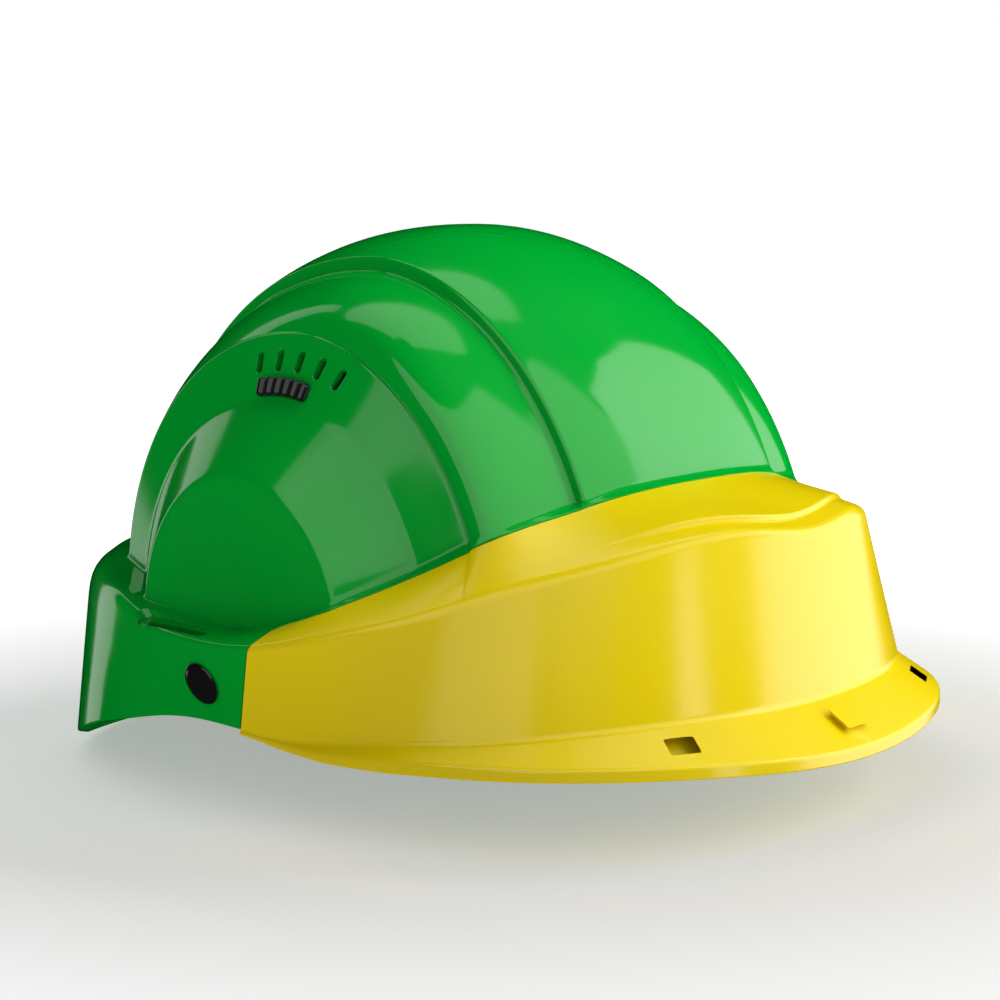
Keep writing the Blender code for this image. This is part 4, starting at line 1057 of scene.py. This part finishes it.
def swell(item, held, cap, voxel):
    """Blow the closed mesh up as cloth, held points fixed, no point moving past the cap."""
    remesh = item.modifiers.new("even", "REMESH")
    remesh.mode = "VOXEL"
    remesh.voxel_size = voxel
    apply_modifiers(item)
    start = [v.co.copy() for v in item.data.vertices]
    group = item.vertex_groups.new(name="held")
    group.add([i for i, p in enumerate(start) if held(p)], 1.0, "REPLACE")
    cloth = item.modifiers.new("swell", "CLOTH")
    cloth.settings.quality = 4
    cloth.settings.mass = 0.1
    cloth.settings.vertex_group_mass = "held"
    cloth.settings.use_pressure = True
    cloth.settings.uniform_pressure_force = 4.0
    cloth.settings.effector_weights.gravity = 0.0
    cloth.settings.tension_stiffness = 15
    cloth.settings.compression_stiffness = 15
    cloth.settings.bending_stiffness = 0.5
    for number in range(1, 21):
        bpy.context.scene.frame_set(number)
    apply_modifiers(item)
    bpy.context.scene.frame_set(1)
    for vertex, before in zip(item.data.vertices, start):
        move = vertex.co - before
        if move.length > cap:
            vertex.co = before + move * (cap / move.length)
    item.vertex_groups.clear()
    fine = item.modifiers.new("fine", "SUBSURF")
    fine.levels = fine.render_levels = 1
    apply_modifiers(item)
    item.data.shade_smooth()


def seam_pull(offset, reach):
    """Share of the full depth that a sewn seam has at an offset from its line."""
    t = min(offset / reach, 1.0)
    return (1 - t * t) ** 2


def stitches(name, line, out, body, length=2.2 * MM, gap=1.0 * MM, radius=0.28 * MM):
    """A row of short thread stitches along a line."""
    points, faces = [], []
    run, last = 0.0, line[0]
    start = None
    marks = []
    for p in line:
        run += (p - last).length
        last = p
        if start is None and run >= gap:
            start, run = p, 0.0
        elif start is not None and run >= length:
            marks.append((start, p))
            start, run = None, 0.0
    for a, b in marks:
        along = (b - a).normalized()
        side = along.cross(out((a + b) / 2)).normalized()
        lift = side.cross(along)
        base = len(points)
        for share, size in ((0.0, 0.25), (0.15, 0.8), (0.5, 1.0), (0.85, 0.8), (1.0, 0.25)):
            middle = a.lerp(b, share)
            for k in range(8):
                turn = 2 * math.pi * k / 8
                points.append(middle + (side * math.cos(turn) + lift * math.sin(turn) * 0.8) * radius * size)
        for ring in range(4):
            for k in range(8):
                j = (k + 1) % 8
                low = base + ring * 8
                faces.append((low + k, low + j, low + 8 + j, low + 8 + k))
        faces.append(tuple(base + k for k in range(8)))
        faces.append(tuple(base + 32 + k for k in range(8)))
    item = add_object(name, mesh_from(name, points, faces, 1e-7))
    item.data.shade_smooth()
    return dress(item, THREAD, body, "sweatband_fabric")


def make_sweatband():
    """Knitted pad inside the front of the headband, quilted by two long seams."""
    sections = []
    for i in range(141):
        angle = 77.2 * (2 * i / 140 - 1)
        out = head_normal(angle)
        centre = head_ring(angle) - out * 1.75 * MM + Vector((0, 0, band_z(angle)))
        height = min(headband_height(angle), BAND_HEIGHT) - 3.6 * MM
        sections.append(upright_section(centre, out, height, 2.3 * MM, 0.9 * MM))
    pad = loft("sweatband_pad", sections)

    def locate(p):
        """Head angle, depth inside the ring and height over the pad's middle."""
        angle = math.degrees(math.atan2(-p.x / HEAD_A, (HEAD_Y - p.y) / HEAD_B))
        return angle, (head_ring(angle) - p).dot(head_normal(angle)), p.z - band_z(angle)

    swell(pad, lambda p: locate(p)[1] < 0.95 * MM, 0.9 * MM, 1.25 * MM)
    for vertex in pad.data.vertices:
        angle, deep, z = locate(vertex.co)
        if deep > 1.6 * MM:
            half = headband_height(angle) / 2 - 3.6 * MM
            pull = seam_pull(abs(abs(z) - half), 1.3 * MM)
            vertex.co += head_normal(angle) * 0.65 * MM * pull
        elif deep < 0.45 * MM:
            vertex.co -= head_normal(angle) * (0.45 * MM - deep)
    dress(pad, KNIT, "helmet", "sweatband_fabric", "sweatband")

    def inward(p):
        return -Vector((p.x, p.y - HEAD_Y, 0)).normalized()

    for tag, sign in (("upper", 1), ("lower", -1)):
        line = []
        for i in range(1400):
            angle = 75 * (2 * i / 1399 - 1)
            z = band_z(angle) + sign * (headband_height(angle) / 2 - 3.6 * MM)
            line.append(head_ring(angle) - head_normal(angle) * 3.05 * MM + Vector((0, 0, z)))
        stitches(f"sweatband_stitches_{tag}", line, inward, "helmet")


def make_nape():
    """Housing, cover and quilted pad of the nape unit."""
    tray = ((-2.6, -16), (3.9, -16), (3.9, -13.6), (-0.3, -13.6))
    tray += ((-0.3, 13.6), (3.9, 13.6), (3.9, 16), (-2.6, 16))
    housing = nape_loft("nape_housing_skin", tray, 27.0, 72, 0.5)
    smooth_faces(housing, 40)
    dress(housing, GREY, "nape_unit", "harness_grey", "nape_housing")
    lid = ((2.2, -13.2), (4.6, -13.2), (4.6, 13.2), (2.2, 13.2))
    cover = nape_loft("nape_cover_skin", lid, 25.0, 72, 0.5)
    axis = knob_frame()
    rings = [[axis @ Vector((x, y, z * MM)) for x, y in circle(3.6 * MM, 8)] for z in (-0.5, 9.0)]
    carve(cover, [loft("knob_hole", rings)])
    smooth_faces(cover, 40)
    dress(cover, MATTE, "nape_unit", "black_matte", "nape_cover")

    cushion = ((-5.3, -11.6), (-2.95, -13.1), (-2.95, 13.1), (-5.3, 11.6))
    pad = nape_loft("nape_pad_skin", cushion, 23.4, 60, 0.9)

    def locate(p):
        angle = math.degrees(math.atan2(-p.x, p.y - NAPE_Y))
        return angle, math.hypot(p.x, p.y - NAPE_Y) - NAPE_RADIUS, p.z - BAND_REAR_Z

    swell(pad, lambda p: locate(p)[1] > -3.1 * MM, 0.8 * MM, 1.2 * MM)
    for vertex in pad.data.vertices:
        angle, deep, z = locate(vertex.co)
        away = Vector((vertex.co.x, vertex.co.y - NAPE_Y, 0)).normalized()
        if deep < -4.0 * MM:
            vertex.co += away * 0.7 * MM * seam_pull(abs((angle + 6.0) % 12.0 - 6.0), 1.4)
        elif deep > -2.9 * MM:
            vertex.co -= away * (deep + 2.9 * MM)
    dress(pad, KNIT, "nape_unit", "sweatband_fabric", "nape_pad")
    for n, angle in enumerate((-12.0, 0.0, 12.0)):
        heights = [BAND_REAR_Z + (i / 400 - 0.5) * 21 * MM for i in range(401)]
        line = [nape_point(angle, NAPE_RADIUS - 5.05 * MM, z) for z in heights]
        inward = Vector((math.sin(math.radians(angle)), -math.cos(math.radians(angle)), 0))
        stitches(f"nape_pad_stitches_{n}", line, lambda p, d=inward: d, "nape_unit")


def make_strap(name, first, last, lift):
    """Woven crown strap with thicker selvedges, and sewn tabs at its ends."""
    line, across = strap_line(first, last, lift)
    width, half = 20.0 * MM, 0.6 * MM
    outline = []
    for side in (1, -1):
        for i in range(25):
            v = 1 - 2 * i / 24
            edge = max(1 - abs(v) ** 10, 0.0) ** 0.5
            roll = 0.14 * MM * math.exp(-((abs(v) - 0.86) / 0.06) ** 2)
            dip = 0.1 * MM * (1 - min(abs(v) / 0.86, 1.0) ** 2)
            outline.append((side * v * width / 2, side * ((half - 0.14 * MM - dip) * edge + roll)))
    points, uvs, faces, run = [], [], [], 0.0
    n, count = len(outline), len(line)
    for i, p in enumerate(line):
        a, b = line[max(i - 1, 0)], line[min(i + 1, count - 1)]
        normal = across.cross((b - a).normalized()).normalized()
        run += (p - a).length if i else 0.0
        for x, z in outline:
            points.append(p + across * x + normal * z)
            uvs.append((run, x))
    for i in range(count - 1):
        for j in range(n):
            k = (j + 1) % n
            faces.append((i * n + j, i * n + k, (i + 1) * n + k, (i + 1) * n + j))
    faces += [tuple(range(n)), tuple((count - 1) * n + j for j in range(n))]
    mesh = bpy.data.meshes.new(name)
    mesh.from_pydata([tuple(p) for p in points], [], faces)
    layer = mesh.uv_layers.new(name="weave")
    for loop in mesh.loops:
        layer.data[loop.index].uv = uvs[loop.vertex_index]
    strap = add_object(name + "_weave", mesh)
    smooth_faces(strap, 60, weighted=False)
    dress(strap, WEBBING, "helmet", "webbing", name)
    fine = []
    for a, b in zip(line, line[1:]):
        fine += [(a.lerp(b, t / 12), (b - a).normalized()) for t in range(12)]
    for end, part in (("front", fine[60:210]), ("rear", fine[-210:-60])):
        for tag, shift in (("a", -7.5), ("b", 7.5)):
            row = [p + across * shift * MM + across.cross(t) * 0.62 * MM for p, t in part]
            stitches(f"{name}_stitches_{end}_{tag}", row, lambda p, d=across.cross(part[0][1]): d, "helmet")


# ---------------------------------------------------------------- build the pieces
make_shell()
make_band()
for side_sign, side_tag in ((-1, "right"), (1, "left")):
    make_slider(side_sign, side_tag)
    make_button(side_sign, side_tag)
    make_tail(side_sign, side_tag)
make_knob()
make_headband()
make_sweatband()
make_nape()
make_strap("crown_strap_lower", 44.0, -136.0, 0.0)
make_strap("crown_strap_upper", -44.0, 136.0, 2.6 * MM)
for kinds, edge in (
    (("hanger_front", "hanger_rear"), 0.5 * MM),
    (("rack", "vent_shutter"), 0.15 * MM),
    (("button_lock_ring", "band_rivet"), 0.2 * MM),
):
    for kind in kinds:
        for side_tag in ("left", "right"):
            repaint(f"{kind}_{side_tag}", MATTE, edge)
repaint("ratchet_pinion", GREY, 0.12 * MM)


# ---------------------------------------------------------------- studio
WORLD_LEVEL, FLOOR_GLOW, FLOOR_FADE = 0.36, 0.38, (0.17, 0.45)
VIEW_DIRECTION, VIEW_DISTANCE = (-0.77681, -0.61659, 0.12797), 0.7545
VIEW_TARGET, LENS, LENS_SHIFT = (0, -0.0042, 0.076), 90.4, (-0.0077, 0.0055)


def glow_look(name):
    """White emission whose strength is the mesh's own level at each point."""
    made = bpy.data.materials.new(name)
    made.use_nodes = True
    nodes, links = made.node_tree.nodes, made.node_tree.links
    nodes.clear()
    glow, out = nodes.new("ShaderNodeEmission"), nodes.new("ShaderNodeOutputMaterial")
    level = nodes.new("ShaderNodeAttribute")
    level.attribute_name = "level"
    links.new(level.outputs["Fac"], glow.inputs["Strength"])
    links.new(glow.outputs[0], out.inputs["Surface"])
    return made


def sky_point(azimuth, height, radius):
    """Point on a sphere round the helmet; azimuth 0 is +X, -90 the front."""
    a, h = math.radians(azimuth), math.radians(height)
    return Vector((math.cos(h) * math.cos(a), math.cos(h) * math.sin(a), math.sin(h))) * radius


def softbox(name, columns, rows=10, radius=1.7):
    """Curved soft light; each column is (azimuth, lowest and highest elevation, level)."""
    stations = []
    for a, b in zip(columns, columns[1:]):
        parts = max(int(abs(b[0] - a[0]) / 4), 1)
        stations += [tuple(x + (y - x) * t / parts for x, y in zip(a, b)) for t in range(parts)]
    stations.append(columns[-1])
    points, levels, faces = [], [], []
    for azimuth, low, high, level in stations:
        for j in range(rows + 1):
            points.append(sky_point(azimuth, low + (high - low) * j / rows, radius))
            levels.append(level)
    for i in range(len(stations) - 1):
        for j in range(rows):
            k = i * (rows + 1) + j
            faces.append((k, k + 1, k + rows + 2, k + rows + 1))
    mesh = bpy.data.meshes.new(name)
    mesh.from_pydata([tuple(p) for p in points], [], faces)
    mesh.attributes.new("level", "FLOAT", "POINT").data.foreach_set("value", levels)
    mesh.materials.append(GLOW)
    item = add_object(name, mesh)
    item.visible_camera = False
    item.visible_shadow = False
    return item


def make_stage():
    """Pale floor under the nape rim, white backdrop and a dim surround."""
    work = bmesh.new()
    bmesh.ops.create_circle(work, cap_ends=True, radius=6.0, segments=64)
    mesh = bpy.data.meshes.new("floor")
    work.to_mesh(mesh)
    work.free()
    floor = add_object("floor", mesh)
    floor.location.z = -0.0004
    look = Look("pale_floor")
    shade = look.spread(look.noise(3.0, 2.0), 0.3, 0.7, 0.0, 1.0)
    look.put(look.shader.inputs["Base Color"], look.colour(shade, (0.90, 0.90, 0.90), (0.91, 0.91, 0.91)))
    look.shader.inputs["Roughness"].default_value = 0.9
    look.shader.inputs["Specular IOR Level"].default_value = 0.0
    # Painted light: the floor glows white, at FLOOR_GLOW near the helmet and rising to full white further
    # out; the glow also lights the helmet from below.
    look.shader.inputs["Emission Color"].default_value = (1, 1, 1, 1)
    reach = look.node("VectorMath", {0: look.place}, operation="LENGTH").outputs["Value"]
    look.put(look.shader.inputs["Emission Strength"], look.spread(reach, *FLOOR_FADE, FLOOR_GLOW, 1.0))
    mesh.materials.append(look.made)
    floor.visible_glossy = False
    backdrop = softbox("backdrop", [(a, -4.0, 89.5, 1.0) for a in range(-180, 181, 20)], 24, 5.9)
    backdrop.visible_camera = True
    backdrop.visible_diffuse = False
    backdrop.visible_glossy = False
    world = bpy.data.worlds.new("surround")
    world.use_nodes = True
    back = world.node_tree.nodes["Background"]
    back.inputs["Color"].default_value = (1, 1, 1, 1)
    back.inputs["Strength"].default_value = WORLD_LEVEL
    world.cycles_visibility.glossy = False
    bpy.context.scene.world = world


GLOW = glow_look("softbox_glow")
make_stage()
softbox("light_front", [(-58, -18, 8, 2.5), (-44, -18, 44, 2.8), (-30, -18, 45, 2.2), (-15, -16, 40, 1.5),
                        (-2, -12, 22, 1.0)])
softbox("light_strip", [(-88.5, -20, 14, 3.0), (-79, -20, 13, 3.0)])
wide = softbox("light_wide", [(-196, 24, 60, 1.1), (-180, 23, 60, 1.3), (-172, 18, 60, 1.3),
                              (-164, -4, 60, 1.2), (-143, -4, 60, 1.2), (-137, 20, 60, 1.3),
                              (-47, 23, 58, 1.25)])
high = softbox("light_high", [(-25, 62, 84, 1.1), (40, 62, 85, 1.1), (110, 60, 85, 1.1)])
rear = softbox("light_rear", [(77, -12, 56, 0.85), (91, -12, 56, 0.85)])
for lamp in (wide, high, rear):
    lamp.visible_diffuse = False
fill = softbox("light_fill", [(-84, 20, 80, 1.2), (-64, 10, 84, 3.8), (-18, 10, 84, 4.4),
                              (8, 20, 80, 2.6)], 10, 1.9)
fill.visible_glossy = False
unlit = bpy.data.collections.new("not_lit_by_fill")
unlit.objects.link(bpy.data.objects["floor"])
unlit.collection_objects[0].light_linking.link_state = "EXCLUDE"
fill.light_linking.receiver_collection = unlit

camera = bpy.data.objects.new("camera", bpy.data.cameras.new("camera"))
bpy.context.scene.collection.objects.link(camera)
toward = Vector(VIEW_DIRECTION).normalized()
camera.location = Vector(VIEW_TARGET) + toward * VIEW_DISTANCE
camera.rotation_euler = toward.to_track_quat("Z", "Y").to_euler()
camera.data.lens = LENS
camera.data.sensor_width = 36.0
camera.data.shift_x, camera.data.shift_y = LENS_SHIFT
camera.data.clip_start = 0.01
bpy.context.scene.camera = camera
bpy.context.scene.view_settings.view_transform = "Standard"
